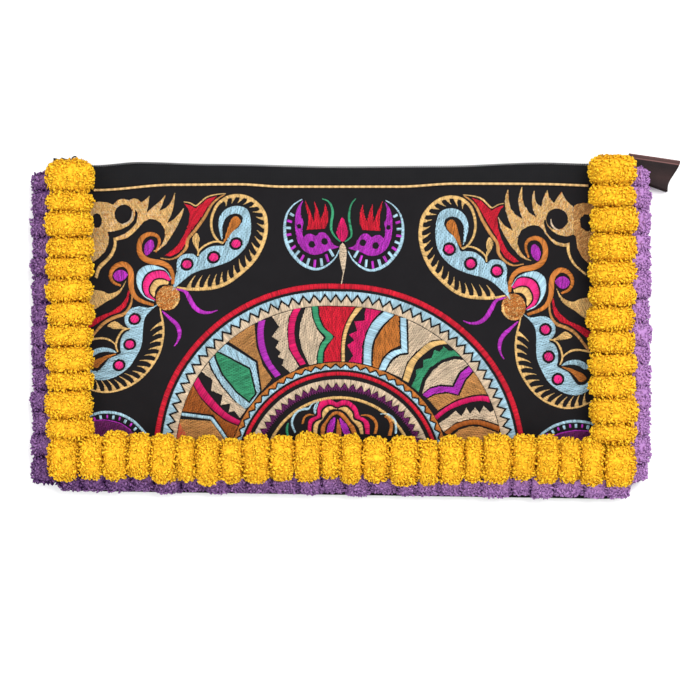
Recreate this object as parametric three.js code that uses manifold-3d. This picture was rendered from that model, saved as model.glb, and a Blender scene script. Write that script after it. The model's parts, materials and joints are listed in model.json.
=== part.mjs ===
// A flat embroidered clutch bag of black cloth, closed by a zip and edged with two rows of yarn
// pompoms, yellow over purple. It lies on its back.
// Millimetres. +X runs to the right of the front, +Y towards the zip, +Z out of the front.
// The origin is in the middle of the back, on the face that the bag rests on.
import * as THREE from "three";
import { mergeVertices } from "three/addons/utils/BufferGeometryUtils.js";
import Module from "manifold-3d";

const wasm = await Module();
wasm.setup();

// Cloth body
const bodyWidth = 318; // side seam to side seam
const bodyHeight = 181; // bottom seam to the crest of the zip, at the left
const bottomSkew = 4.4; // how much lower the bottom seam lies at the right than at the left
const cornerRadius = 12; // of the two bottom corners
const clothWall = 1.8; // outer cloth with its backing
const seamHeight = 4.6; // the side seam above the surface that the bag lies on
const fullness = 11; // how far the filled front stands above its flat border
const borderWidth = 26; // flat border that carries the pompoms
const sideRun = 42; // from the border's inner edge to the full height, along the sides and bottom
const topRun = 62; // from the zip to the full height
const backCurl = 13; // how far in from the seam the back starts to lift off the surface
const gap = 0.3; // between neighbouring pieces

// Zip
const tapeWidth = 13; // from the gold cord to the zip's crest
const chainThickness = 2.2;
const chainWidth = 3.6;
const toothPitch = 3;
const toothDepth = 0.6;
const sliderLength = 9.5;
const sliderWall = 0.9;
const sliderInset = 9; // from the left side seam to the slider's middle
const sliderBridge = 1.3; // height of the small loop on the slider

// Folded leather tab on the zip's tail, right of the bag
const tabLength = 28.5;
const tabRootWidth = 14;
const tabEndWidth = 17.5;
const tabCrest = 5.8; // how far its fold stands above the zip's crest at the root
const tabDrop = 4; // how far the fold sinks from the root to the free end
const tabSlant = 5.5; // how far the free end's lower corner is set back
const tabSag = 1.6; // how much lower over the surface the free end lies than the root
const leatherThickness = 1.3;
const tailThickness = 1.2;
const tailLength = 12;
const tailWidth = 9;

// Gold cord sewn along the foot of the front tape
const cordDiameter = 1.5;
const cordReach = 136.5; // from the bag's middle to each end of the cord

// Pompoms. Width lies across a row, height stands off the cloth.
const yellowWidth = 27.5;
const yellowHeight = 24;
const yellowSideInset = 10.4; // from the side seam to the row's middle line
const yellowBottomInset = 19; // from the bottom seam to the row's middle line, at the left
const yellowBottomSkew = 1.8;
const yellowOverhangLeft = 1.6; // how far the left row reaches past the zip's crest
const yellowOverhangRight = 4.2;
const purpleWidth = 21.5;
const purpleHeight = 19;
const purpleLift = 0.4; // how far the purple rows hang above the surface that the bag lies on
const purpleSideOutset = 1.2; // from the side seam out to the row's middle line
const purpleBottomInset = 10.6;
const purpleTopLeft = 5; // how far the left row ends below the zip's crest
const purpleTopRight = 1.8;
const purpleEndLeft = 4; // how far the left row ends above the bottom seam
const purpleEndRight = 11;
const purpleNestLeft = 4; // how far the bottom row reaches in under the left row's end
const purpleNestRight = 9.5;
const pompomSeat = 0.5; // yarn above the cloth that it is sewn to
const pressedShare = 0.43; // the share of a pompom's height that is under its middle, pressed flat
const creaseShare = 0.76; // radius between two pompoms as a share of the full radius
const lockDepth = 0.045; // how far the locks of yarn stand out, as a share of the radius
const rowWobble = 0.9; // how far a pompom's middle strays from the straight row

const halfWidth = bodyWidth / 2;
const bottomEdge = -bodyHeight / 2;
const topEdge = bodyHeight / 2;
const borderTop = seamHeight + gap / 2 + clothWall; // outer face of the front's flat border
const seamLow = seamHeight - gap / 2 - clothWall; // outer face of the back at the seam
const pompomFloor = borderTop + pompomSeat;

// The zip's crest: place across the half width, rise as a share of the tape's width.
const crestRows = [
  { across: -1.0, rise: 0.33 },
  { across: -0.95, rise: 0.14 },
  { across: -0.86, rise: -0.06 },
  { across: -0.7, rise: 0.08 },
  { across: -0.45, rise: 0.0 },
  { across: 0.0, rise: -0.1 },
  { across: 0.35, rise: -0.08 },
  { across: 0.7, rise: 0.06 },
  { across: 0.88, rise: 0.0 },
  { across: 0.95, rise: 0.14 },
  { across: 1.0, rise: 0.3 },
];
// The foot of the front tape, where the gold cord runs, in the same way.
const footRows = [
  { across: -1.0, rise: -0.16 },
  { across: -0.85, rise: -0.14 },
  { across: -0.58, rise: 0.06 },
  { across: -0.35, rise: 0.08 },
  { across: -0.2, rise: -0.02 },
  { across: 0.2, rise: -0.02 },
  { across: 0.4, rise: 0.11 },
  { across: 0.7, rise: 0.1 },
  { across: 1.0, rise: 0.0 },
];

// Lengths of the pompoms along each row, from the zip down or from left to right, as shares of the
// mean length in that row.
const yellowLeftLengths = [1.45, 0.8, 1.1, 0.85, 0.9, 0.97, 1.0, 0.9, 1.1, 0.75, 1.2, 1.0];
const yellowBottomLengths = [
  1.3, 1.0, 1.0, 0.95, 1.05, 0.8, 1.0, 0.95, 1.1, 1.0, 1.1, 0.8, 0.9, 1.1, 1.2, 0.85, 1.05, 0.75,
  1.2, 1.0, 0.95, 0.88, 0.95, 1.35,
];
const yellowRightLengths = [1.3, 0.88, 1.1, 1.15, 0.95, 0.92, 1.0, 0.95, 0.85, 0.95, 1.1, 0.85];
const purpleLeftLengths = [0.8, 1.15, 0.8, 0.95, 0.7, 1.2, 0.9, 1.0, 0.8, 1.05, 0.85, 1.0, 0.95, 1.2];
const purpleBottomLengths = [
  1.0, 0.95, 1.1, 0.95, 1.1, 1.0, 0.95, 0.75, 1.0, 1.15, 0.9, 1.0, 0.95, 1.2, 0.7, 1.0, 0.9, 0.8,
  1.25, 0.8, 0.9, 1.3, 0.9, 1.05,
];
const purpleRightLengths = [0.85, 0.95, 1.05, 0.7, 0.8, 1.2, 1.0, 0.95, 0.75, 0.95, 0.95, 1.1, 1.2, 0.8];

const clamp01 = (t) => Math.min(1, Math.max(0, t));
const mix = (a, b, t) => a + (b - a) * t;
const smooth = (t) => clamp01(t) ** 2 * (3 - 2 * clamp01(t));
const swell = (t) => 1 - (1 - clamp01(t)) ** 2;
const point = (x, y) => new THREE.Vector2(x, y);

// Distances in from each side seam at which every sheet of the body has a column.
const outerInsets = [0, borderWidth / 2];
const riseInsets = [0, 0.25, 0.5, 0.75, 1].map((t) => borderWidth + t * sideRun);
const middleInsets = [92, 124];
const rightShares = [...outerInsets, ...riseInsets, ...middleInsets].map((inset) => 1 - inset / halfWidth);
const columnShares = [...rightShares.map((share) => -share), 0, ...rightShares.slice().reverse()];

// A smooth curve through the rows of a table.
function curveAt(rows, across) {
  const k = Math.max(1, rows.findIndex((row) => row.across >= across - 1e-9));
  const [before, after] = [rows[k - 1], rows[k]];
  const t = (across - before.across) / (after.across - before.across);
  return mix(before.rise, after.rise, smooth(t));
}

// The same curve drawn straight from one column to the next, as the sheets have it.
function columnLine(rows, across) {
  const at = Math.max(-1, Math.min(1, across));
  const k = Math.max(1, columnShares.findIndex((share) => share >= at - 1e-9));
  const [before, after] = [columnShares[k - 1], columnShares[k]];
  return mix(curveAt(rows, before), curveAt(rows, after), (at - before) / (after - before));
}

const crestLine = (x) => topEdge + tapeWidth * columnLine(crestRows, x / halfWidth);
const footLine = (x) => topEdge - tapeWidth + tapeWidth * columnLine(footRows, x / halfWidth);
const bottomLine = (x) => bottomEdge - (bottomSkew * (x / halfWidth + 1)) / 2;
const tapeEnd = (x) => crestLine(x) - chainThickness - gap;

// Half the body's width at a height above the bottom seam, with the corners rounded.
function halfWidthAt(above) {
  if (above >= cornerRadius) return halfWidth;
  return halfWidth - cornerRadius + Math.sqrt(cornerRadius ** 2 - (cornerRadius - above) ** 2);
}

// Outer face of the front: a flat border, then a filled middle that thins towards the zip.
function frontHeight(x, y) {
  const above = y - bottomLine(x);
  const fromSide = halfWidthAt(above) - Math.abs(x);
  const sides = smooth((fromSide - borderWidth) / sideRun);
  const bottom = smooth((above - borderWidth) / sideRun);
  const top = swell((crestLine(x) - y) / topRun);
  return borderTop + fullness * sides * bottom * top;
}

// Outer face of the back: flat on the surface, curled up to the seam and the zip.
function backHeight(x, y) {
  const above = y - bottomLine(x);
  const fromEdge = Math.min(halfWidthAt(above) - Math.abs(x), above, tapeEnd(x) - y);
  return seamLow * (1 - clamp01(fromEdge / backCurl)) ** 2;
}

function meshOf(positions, triangles) {
  const geometry = new THREE.BufferGeometry();
  geometry.setAttribute("position", new THREE.Float32BufferAttribute(positions, 3));
  geometry.setIndex(triangles);
  geometry.computeVertexNormals();
  return geometry;
}

// A closed wall between two grids of points, outer[j][i] and inner[j][i], each a THREE.Vector3.
// The outer grid runs counterclockwise when it is seen from outside.
function wallOf(outer, inner) {
  const rows = outer.length;
  const columns = outer[0].length;
  const positions = [...outer.flat(), ...inner.flat()].flatMap((p) => p.toArray());
  const triangles = [];
  const out = (i, j) => j * columns + i;
  const inn = (i, j) => rows * columns + j * columns + i;
  const quad = (a, b, c, d) => triangles.push(a, b, c, a, c, d);
  for (let j = 0; j < rows - 1; j++) {
    for (let i = 0; i < columns - 1; i++) {
      quad(out(i, j), out(i + 1, j), out(i + 1, j + 1), out(i, j + 1));
      quad(inn(i, j), inn(i, j + 1), inn(i + 1, j + 1), inn(i + 1, j));
    }
  }
  for (let i = 0; i < columns - 1; i++) {
    quad(inn(i, 0), inn(i + 1, 0), out(i + 1, 0), out(i, 0));
    quad(out(i, rows - 1), out(i + 1, rows - 1), inn(i + 1, rows - 1), inn(i, rows - 1));
  }
  for (let j = 0; j < rows - 1; j++) {
    quad(out(0, j), out(0, j + 1), inn(0, j + 1), inn(0, j));
    quad(inn(columns - 1, j), inn(columns - 1, j + 1), out(columns - 1, j + 1), out(columns - 1, j));
  }
  return meshOf(positions, triangles);
}

const cornerSteps = [0, 0.06, 0.25, 0.6, 1].map((t) => t * cornerRadius);
const domeSteps = [0, 0.25, 0.5, 0.75, 1].map((t) => borderWidth + t * sideRun);
const upperShares = [0.35, 0.7, 1];

// One sheet of the body between two lines across it. lower and upper give y for an x. steps are the
// heights of the first rows above the lower line, and the rest go up in shares of what is left.
function sheetGrid(steps, lower, upper, heightAt) {
  const grid = steps.map((step) =>
    columnShares.map((share) => {
      const straight = share * halfWidth;
      const x = share * halfWidthAt(lower(straight) + step - bottomLine(straight));
      const y = lower(x) + step;
      return new THREE.Vector3(x, y, heightAt(x, y));
    }),
  );
  const last = grid.at(-1);
  for (const t of upperShares) {
    grid.push(
      last.map((p) => {
        const y = mix(p.y, upper(p.x), t);
        return new THREE.Vector3(p.x, y, heightAt(p.x, y));
      }),
    );
  }
  return grid;
}

const raise = (grid, by) => grid.map((row) => row.map((p) => new THREE.Vector3(p.x, p.y, p.z + by)));
// A grid read from right to left, so that its faces point down.
const turned = (grid) => grid.map((row) => row.slice().reverse());

function frontPanel() {
  const grid = sheetGrid([...cornerSteps, ...domeSteps], bottomLine, footLine, frontHeight);
  return wallOf(grid, raise(grid, -clothWall));
}

function backPanel() {
  const steps = [...cornerSteps, backCurl + cornerRadius, bodyHeight / 2];
  const grid = sheetGrid(steps, bottomLine, footLine, backHeight);
  return wallOf(turned(grid), turned(raise(grid, clothWall)));
}

// A zip tape from the panel's edge up to the chain.
function tapeGrid(heightAt) {
  return sheetGrid([0], (x) => footLine(x) + gap, tapeEnd, heightAt);
}

function frontTape() {
  const grid = tapeGrid(frontHeight);
  return wallOf(grid, raise(grid, -clothWall));
}

function backTape() {
  const grid = tapeGrid(backHeight);
  return wallOf(turned(grid), turned(raise(grid, clothWall)));
}

// The closed teeth: a flat bar along the crest with a tooth at each step.
function zipChain() {
  const count = Math.round(bodyWidth / toothPitch);
  const crest = [];
  const foot = [];
  for (let k = 0; k <= count; k++) {
    const x = mix(-halfWidth, halfWidth, k / count);
    crest.push(point(x, crestLine(x) - (k % 2 ? 0 : toothDepth)));
  }
  for (const share of columnShares) {
    foot.push(point(share * halfWidth, crestLine(share * halfWidth) - chainThickness));
  }
  const outline = new THREE.Shape([...foot, ...crest.reverse()]);
  const bar = new THREE.ExtrudeGeometry(outline, { depth: chainWidth, bevelEnabled: false });
  return bar.translate(0, 0, seamHeight - chainWidth / 2);
}

const sliderX = -halfWidth + sliderInset;
const sliderHalf = chainWidth / 2 + gap + sliderWall; // from the chain's middle to the slider's side

// The zip's slider: a saddle over the chain with a low loop on it.
function zipSlider() {
  const lift = Math.max(...[-1, 0, 1].map((end) => crestLine(sliderX + (end * sliderLength) / 2)));
  const roof = lift + gap;
  const foot = lift - chainThickness;
  const half = chainWidth / 2 + gap;
  const loopHalf = half / 2;
  const profile = new THREE.Shape(
    [
      [-sliderHalf, foot],
      [-half, foot],
      [-half, roof],
      [half, roof],
      [half, foot],
      [sliderHalf, foot],
      [sliderHalf, roof + sliderWall],
      [loopHalf, roof + sliderWall],
      [loopHalf, roof + sliderWall + sliderBridge],
      [-loopHalf, roof + sliderWall + sliderBridge],
      [-loopHalf, roof + sliderWall],
      [-sliderHalf, roof + sliderWall],
    ].map(([z, y]) => new THREE.Vector2(z, y)),
  );
  const saddle = new THREE.ExtrudeGeometry(profile, { depth: sliderLength, bevelEnabled: false });
  return saddle.rotateY(Math.PI / 2).translate(sliderX - sliderLength / 2, 0, seamHeight);
}

// Room that the slider needs in the pompom above it.
function sliderRoom() {
  const room = new THREE.BoxGeometry(
    sliderLength + 2 * gap,
    2 * (chainThickness + sliderWall + sliderBridge + tapeWidth / 2),
    2 * (sliderHalf + gap),
  );
  return room.translate(sliderX, crestLine(sliderX), seamHeight);
}

const tabRootX = halfWidth + gap;
const tabCrestY = (along) => crestLine(halfWidth) - tapeWidth * 0.3 + tabCrest - tabDrop * along;
const tabMiddleZ = (along) => seamHeight - tabSag * along;

// The leather tab: one strip folded lengthwise over the zip's tail, its fold towards the top.
function zipEndTab() {
  const steps = 6;
  const inner = tailThickness / 2 + gap;
  const outer = inner + leatherThickness;
  const skin = (half, along) => {
    const width = mix(tabRootWidth, tabEndWidth, along);
    const crest = tabCrestY(along) - outer;
    const foot = tabCrestY(along) - width;
    const arc = [-90, -45, 0, 45, 90].map((degrees) => {
      const turn = THREE.MathUtils.degToRad(degrees);
      return [crest + half * Math.cos(turn), -half * Math.sin(turn)];
    });
    return [[foot, half], ...arc, [foot, -half]];
  };
  const gridOf = (half) =>
    Array.from({ length: steps + 1 }, (_, k) => {
      const along = k / steps;
      return skin(half, along).map(([y, z]) => {
        const down = (tabCrestY(along) - y) / tabEndWidth;
        const x = tabRootX + tabLength * along - tabSlant * along * down;
        return new THREE.Vector3(x, y, tabMiddleZ(along) + z);
      });
    });
  return wallOf(turned(gridOf(outer)), turned(gridOf(inner)));
}

// The zip's folded tail, a flat tongue inside the leather.
function zipTail() {
  const top = tabCrestY(0) - tailThickness - leatherThickness - 2 * gap;
  const tongue = [0, 1].map((end) => {
    const x = tabRootX + end * tailLength;
    const sink = tabMiddleZ((end * tailLength) / tabLength);
    const slide = (tabDrop * end * tailLength) / tabLength;
    return [0, 1].map((up) => new THREE.Vector3(x, top - slide - (1 - up) * tailWidth, sink + tailThickness / 2));
  });
  const grid = [0, 1].map((up) => [0, 1].map((end) => tongue[end][up]));
  return wallOf(grid, raise(grid, -tailThickness));
}

function goldCord() {
  const steps = 26;
  const radius = cordDiameter / 2;
  const line = Array.from({ length: steps + 1 }, (_, k) => {
    const x = mix(-cordReach, cordReach, k / steps);
    const y = footLine(x);
    return new THREE.Vector3(x, y, frontHeight(x, y) + gap + radius);
  });
  const round = new THREE.Shape();
  round.absarc(0, 0, radius, 0, 2 * Math.PI);
  return new THREE.ExtrudeGeometry(round, {
    curveSegments: 4,
    steps,
    extrudePath: new THREE.CatmullRomCurve3(line),
  });
}

// A row of pompoms pressed together on one string, from start to end, its underside flat at the
// height floor. grow adds to every radius, for the room that a neighbour leaves.
function pompomRow({ start, end, lengths, width, height, sides, floor, phase }, grow = 0) {
  const along = end.clone().sub(start);
  const rowLength = along.length();
  along.normalize();
  const aside = new THREE.Vector2(-along.y, along.x);
  const total = lengths.reduce((sum, share) => sum + share, 0);
  const middle = floor + height * pressedShare;
  const rings = [];
  let done = 0;
  lengths.forEach((share, k) => {
    const length = (share / total) * rowLength;
    const size = 1 + 0.05 * Math.sin(3.1 * k + phase);
    const stray = rowWobble * Math.sin(2.3 * k + phase);
    const profile = [
      [0, k === 0 ? 0.55 : creaseShare],
      [0.28, 0.98],
      [0.72, 0.98],
    ];
    if (k === lengths.length - 1) profile.push([1, 0.55]);
    for (const [at, radius] of profile) {
      rings.push({ at: done + at * length, radius: radius * size, stray });
    }
    done += length;
  });
  const ends = [rings[0], rings.at(-1)].map((ring) => ring.at);
  const positions = [];
  const place = (at, lateral, z) =>
    positions.push(
      start.x + along.x * at + aside.x * lateral,
      start.y + along.y * at + aside.y * lateral,
      Math.max(z, floor - grow),
    );
  rings.forEach(({ at, radius, stray }, r) => {
    const reach = r === 0 ? -grow : r === rings.length - 1 ? grow : 0;
    for (let i = 0; i < sides; i++) {
      const turn = (2 * Math.PI * i) / sides;
      const lock = 1 + lockDepth * ((i + r) % 2 ? 1 : -1);
      const lateral = (radius * lock * width) / 2 + grow;
      const rise = (radius * lock * height) / 2 + grow;
      place(at + reach, stray + lateral * Math.cos(turn), middle + rise * Math.sin(turn));
    }
  });
  place(ends[0] - grow - 0.5, rings[0].stray, middle);
  place(ends[1] + grow + 0.5, rings.at(-1).stray, middle);
  const first = rings.length * sides;
  const triangles = [];
  for (let i = 0; i < sides; i++) {
    const next = (i + 1) % sides;
    triangles.push(first, next, i);
    const last = (rings.length - 1) * sides;
    triangles.push(first + 1, last + i, last + next);
    for (let r = 0; r < rings.length - 1; r++) {
      const [a, b] = [r * sides, (r + 1) * sides];
      triangles.push(a + i, a + next, b + next, a + i, b + next, b + i);
    }
  }
  return meshOf(positions, triangles);
}

const yellowX = halfWidth - yellowSideInset;
const yellowLine = (x) =>
  bottomEdge + yellowBottomInset - (yellowBottomSkew * (x / halfWidth + 1)) / 2;
const yellowCorner = (x) => yellowLine(x) + yellowWidth * 0.42;
const yellowEndX = yellowX + yellowWidth / 2 - 1;
const yellow = { width: yellowWidth, height: yellowHeight, sides: 10, floor: pompomFloor };
const yellowRows = {
  left: {
    ...yellow,
    start: point(-yellowX, topEdge + yellowOverhangLeft),
    end: point(-yellowX, yellowCorner(-yellowX)),
    lengths: yellowLeftLengths,
    phase: 0.4,
  },
  bottom: {
    ...yellow,
    start: point(-yellowEndX, yellowLine(-yellowEndX)),
    end: point(yellowEndX, yellowLine(yellowEndX)),
    lengths: yellowBottomLengths,
    phase: 1.9,
  },
  right: {
    ...yellow,
    start: point(yellowX, topEdge + yellowOverhangRight),
    end: point(yellowX, yellowCorner(yellowX)),
    lengths: yellowRightLengths,
    phase: 3.1,
  },
};

const purpleX = halfWidth + purpleSideOutset;
const purpleLine = (x) => bottomLine(x) + purpleBottomInset;
const purpleFromX = -(purpleX - purpleWidth / 2 + purpleNestLeft);
const purpleToX = purpleX - purpleWidth / 2 + purpleNestRight;
const purple = { width: purpleWidth, height: purpleHeight, sides: 8, floor: purpleLift };
const purpleRows = {
  left: {
    ...purple,
    start: point(-purpleX, topEdge - purpleTopLeft),
    end: point(-purpleX, bottomLine(-purpleX) + purpleEndLeft),
    lengths: purpleLeftLengths,
    phase: 0.9,
  },
  bottom: {
    ...purple,
    start: point(purpleFromX, purpleLine(purpleFromX)),
    end: point(purpleToX, purpleLine(purpleToX)),
    lengths: purpleBottomLengths,
    phase: 2.2,
  },
  right: {
    ...purple,
    start: point(purpleX, topEdge - purpleTopRight),
    end: point(purpleX, bottomLine(purpleX) + purpleEndRight),
    lengths: purpleRightLengths,
    phase: 4.0,
  },
};

// A geometry as a solid that can be cut.
function solidOf(geometry) {
  const bare = geometry.clone();
  bare.deleteAttribute("normal");
  bare.deleteAttribute("uv");
  const merged = mergeVertices(bare, 1e-4);
  return new wasm.Manifold(
    new wasm.Mesh({
      numProp: 3,
      vertProperties: merged.attributes.position.array,
      triVerts: new Uint32Array(merged.index.array),
    }),
  );
}

function geometryOf(solid) {
  const { vertProperties, triVerts } = solid.getMesh();
  return meshOf([...vertProperties], [...triVerts]);
}

// The body's outline from below the surface up to the pompoms, with room round it.
function bodyRoom() {
  const reach = halfWidth + gap;
  const rim = cornerSteps.map((step) => [halfWidthAt(step) + gap, step]);
  const rightSide = rim.map(([x, step]) => point(x, bottomLine(x) - gap + step));
  const leftSide = rim.map(([x, step]) => point(-x, bottomLine(-x) - gap + step));
  const top = [point(reach, crestLine(halfWidth) + gap), point(-reach, crestLine(-halfWidth) + gap)];
  const outline = new THREE.Shape([...rightSide, ...top, ...leftSide.reverse()]);
  const room = new THREE.ExtrudeGeometry(outline, { depth: 2 * pompomFloor, bevelEnabled: false });
  return room.translate(0, 0, -pompomFloor);
}

// Room round the leather tab, down to the surface that the bag lies on.
function tabRoom() {
  const roof = seamHeight + tailThickness / 2 + leatherThickness + 2 * gap;
  const room = new THREE.BoxGeometry(tabLength, tabEndWidth + 2 * gap, 2 * roof);
  return room.translate(tabRootX + tabLength / 2 - gap, tabCrestY(0) - tabEndWidth / 2, 0);
}

// What the yellow rows, the body and the leather tab take out of the purple rows.
const bottomRoom = solidOf(pompomRow(yellowRows.bottom, gap));
const yellowRoom = Object.values(yellowRows).map((row) => solidOf(pompomRow(row, gap)));
const purpleRoom = [...yellowRoom, solidOf(bodyRoom()), solidOf(tabRoom())];
const purpleEnds = ["left", "right"].map((side) => solidOf(pompomRow(purpleRows[side], gap)));

function yellowRow(side) {
  const row = solidOf(pompomRow(yellowRows[side]));
  if (side === "bottom") return geometryOf(row);
  return geometryOf(row.subtract(bottomRoom).subtract(solidOf(sliderRoom())));
}

function purpleRow(side) {
  const row = solidOf(pompomRow(purpleRows[side]));
  const rooms = side === "bottom" ? [...purpleRoom, ...purpleEnds] : purpleRoom;
  return geometryOf(rooms.reduce((left, room) => left.subtract(room), row));
}

const blackCloth = { color: 0x17161a, roughness: 0.85, metalness: 0 };
const blackTape = { color: 0x111113, roughness: 0.7, metalness: 0 };
const toothNylon = { color: 0x1c1c20, roughness: 0.4, metalness: 0 };
const blackMetal = { color: 0x202022, roughness: 0.35, metalness: 0.8 };
const brownLeather = { color: 0x3a2420, roughness: 0.55, metalness: 0 };
const goldThread = { color: 0xd9b26a, roughness: 0.45, metalness: 0.2 };
const yellowYarn = { color: 0xf5b51e, roughness: 0.95, metalness: 0 };
const purpleYarn = { color: 0x6f3f98, roughness: 0.95, metalness: 0 };

const bag = new THREE.Group();

function add(name, geometry, finish) {
  const mesh = new THREE.Mesh(geometry, new THREE.MeshStandardMaterial(finish));
  mesh.name = name;
  bag.add(mesh);
}

add("front_panel", frontPanel(), blackCloth);
add("back_panel", backPanel(), blackCloth);
add("zip_tape_front", frontTape(), blackTape);
add("zip_tape_back", backTape(), blackTape);
add("zip_chain", zipChain(), toothNylon);
add("zip_slider", zipSlider(), blackMetal);
add("zip_tail", zipTail(), blackTape);
add("zip_end_tab", zipEndTab(), brownLeather);
add("gold_cord", goldCord(), goldThread);
for (const side of Object.keys(yellowRows)) {
  add(`yellow_pompoms_${side}`, yellowRow(side), yellowYarn);
}
for (const side of Object.keys(purpleRows)) {
  add(`purple_pompoms_${side}`, purpleRow(side), purpleYarn);
}

export default bag;
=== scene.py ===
"""Looks of an embroidered clutch bag: cloth, thread, yarn pompoms, zip and leather.

Lengths are in millimetres until a mesh is made. The artwork is charted on a grid of
0.55 mm steps, with x to the right and y down, as on an embroiderer's chart.
"""

import json
import logging
import math
from collections.abc import Callable, Iterable, Sequence
from dataclasses import dataclass
from enum import Enum
from typing import NamedTuple

import bpy
import numpy as np
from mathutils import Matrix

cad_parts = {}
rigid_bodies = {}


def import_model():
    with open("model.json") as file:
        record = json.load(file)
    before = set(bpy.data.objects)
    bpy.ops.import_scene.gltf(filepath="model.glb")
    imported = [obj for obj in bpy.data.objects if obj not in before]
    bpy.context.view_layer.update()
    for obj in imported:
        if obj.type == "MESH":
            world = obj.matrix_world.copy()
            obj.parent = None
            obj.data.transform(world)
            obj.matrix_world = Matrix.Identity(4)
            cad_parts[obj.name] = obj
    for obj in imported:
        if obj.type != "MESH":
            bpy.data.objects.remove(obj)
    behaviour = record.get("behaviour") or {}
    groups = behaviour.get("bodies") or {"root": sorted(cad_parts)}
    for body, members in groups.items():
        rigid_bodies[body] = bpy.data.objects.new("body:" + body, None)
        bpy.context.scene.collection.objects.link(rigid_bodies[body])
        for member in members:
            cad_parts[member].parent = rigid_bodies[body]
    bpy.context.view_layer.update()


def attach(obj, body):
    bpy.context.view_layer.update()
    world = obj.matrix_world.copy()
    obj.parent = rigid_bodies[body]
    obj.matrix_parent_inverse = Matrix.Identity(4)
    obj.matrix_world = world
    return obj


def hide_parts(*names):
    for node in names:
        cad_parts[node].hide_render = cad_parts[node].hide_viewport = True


log = logging.getLogger("bag")

MM = 0.001
CHART_STEP = 0.55  # millimetres
CHART_X = 341  # the chart's column on the bag's middle
CHART_Y = 326.8  # the chart's row on the bag's middle
TAB_RISE = 5.8  # how far the leather tab's root rises over the bag's top, in millimetres
Array = np.ndarray


class Thread(Enum):
    """Colours of embroidery thread, as linear red, green and blue."""

    GOLD = (0.63, 0.41, 0.155)
    OCHRE = (0.46, 0.22, 0.065)
    AMBER = (0.45, 0.15, 0.024)
    BROWN = (0.33, 0.09, 0.012)
    SKY = (0.345, 0.52, 0.61)
    RED = (0.52, 0.006, 0.025)
    MAGENTA = (0.56, 0.005, 0.11)
    PINK = (0.68, 0.02, 0.19)
    PURPLE = (0.40, 0.024, 0.41)
    PLUM = (0.13, 0.010, 0.10)
    GREEN = (0.035, 0.27, 0.13)
    ECRU = (0.57, 0.45, 0.32)


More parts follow.
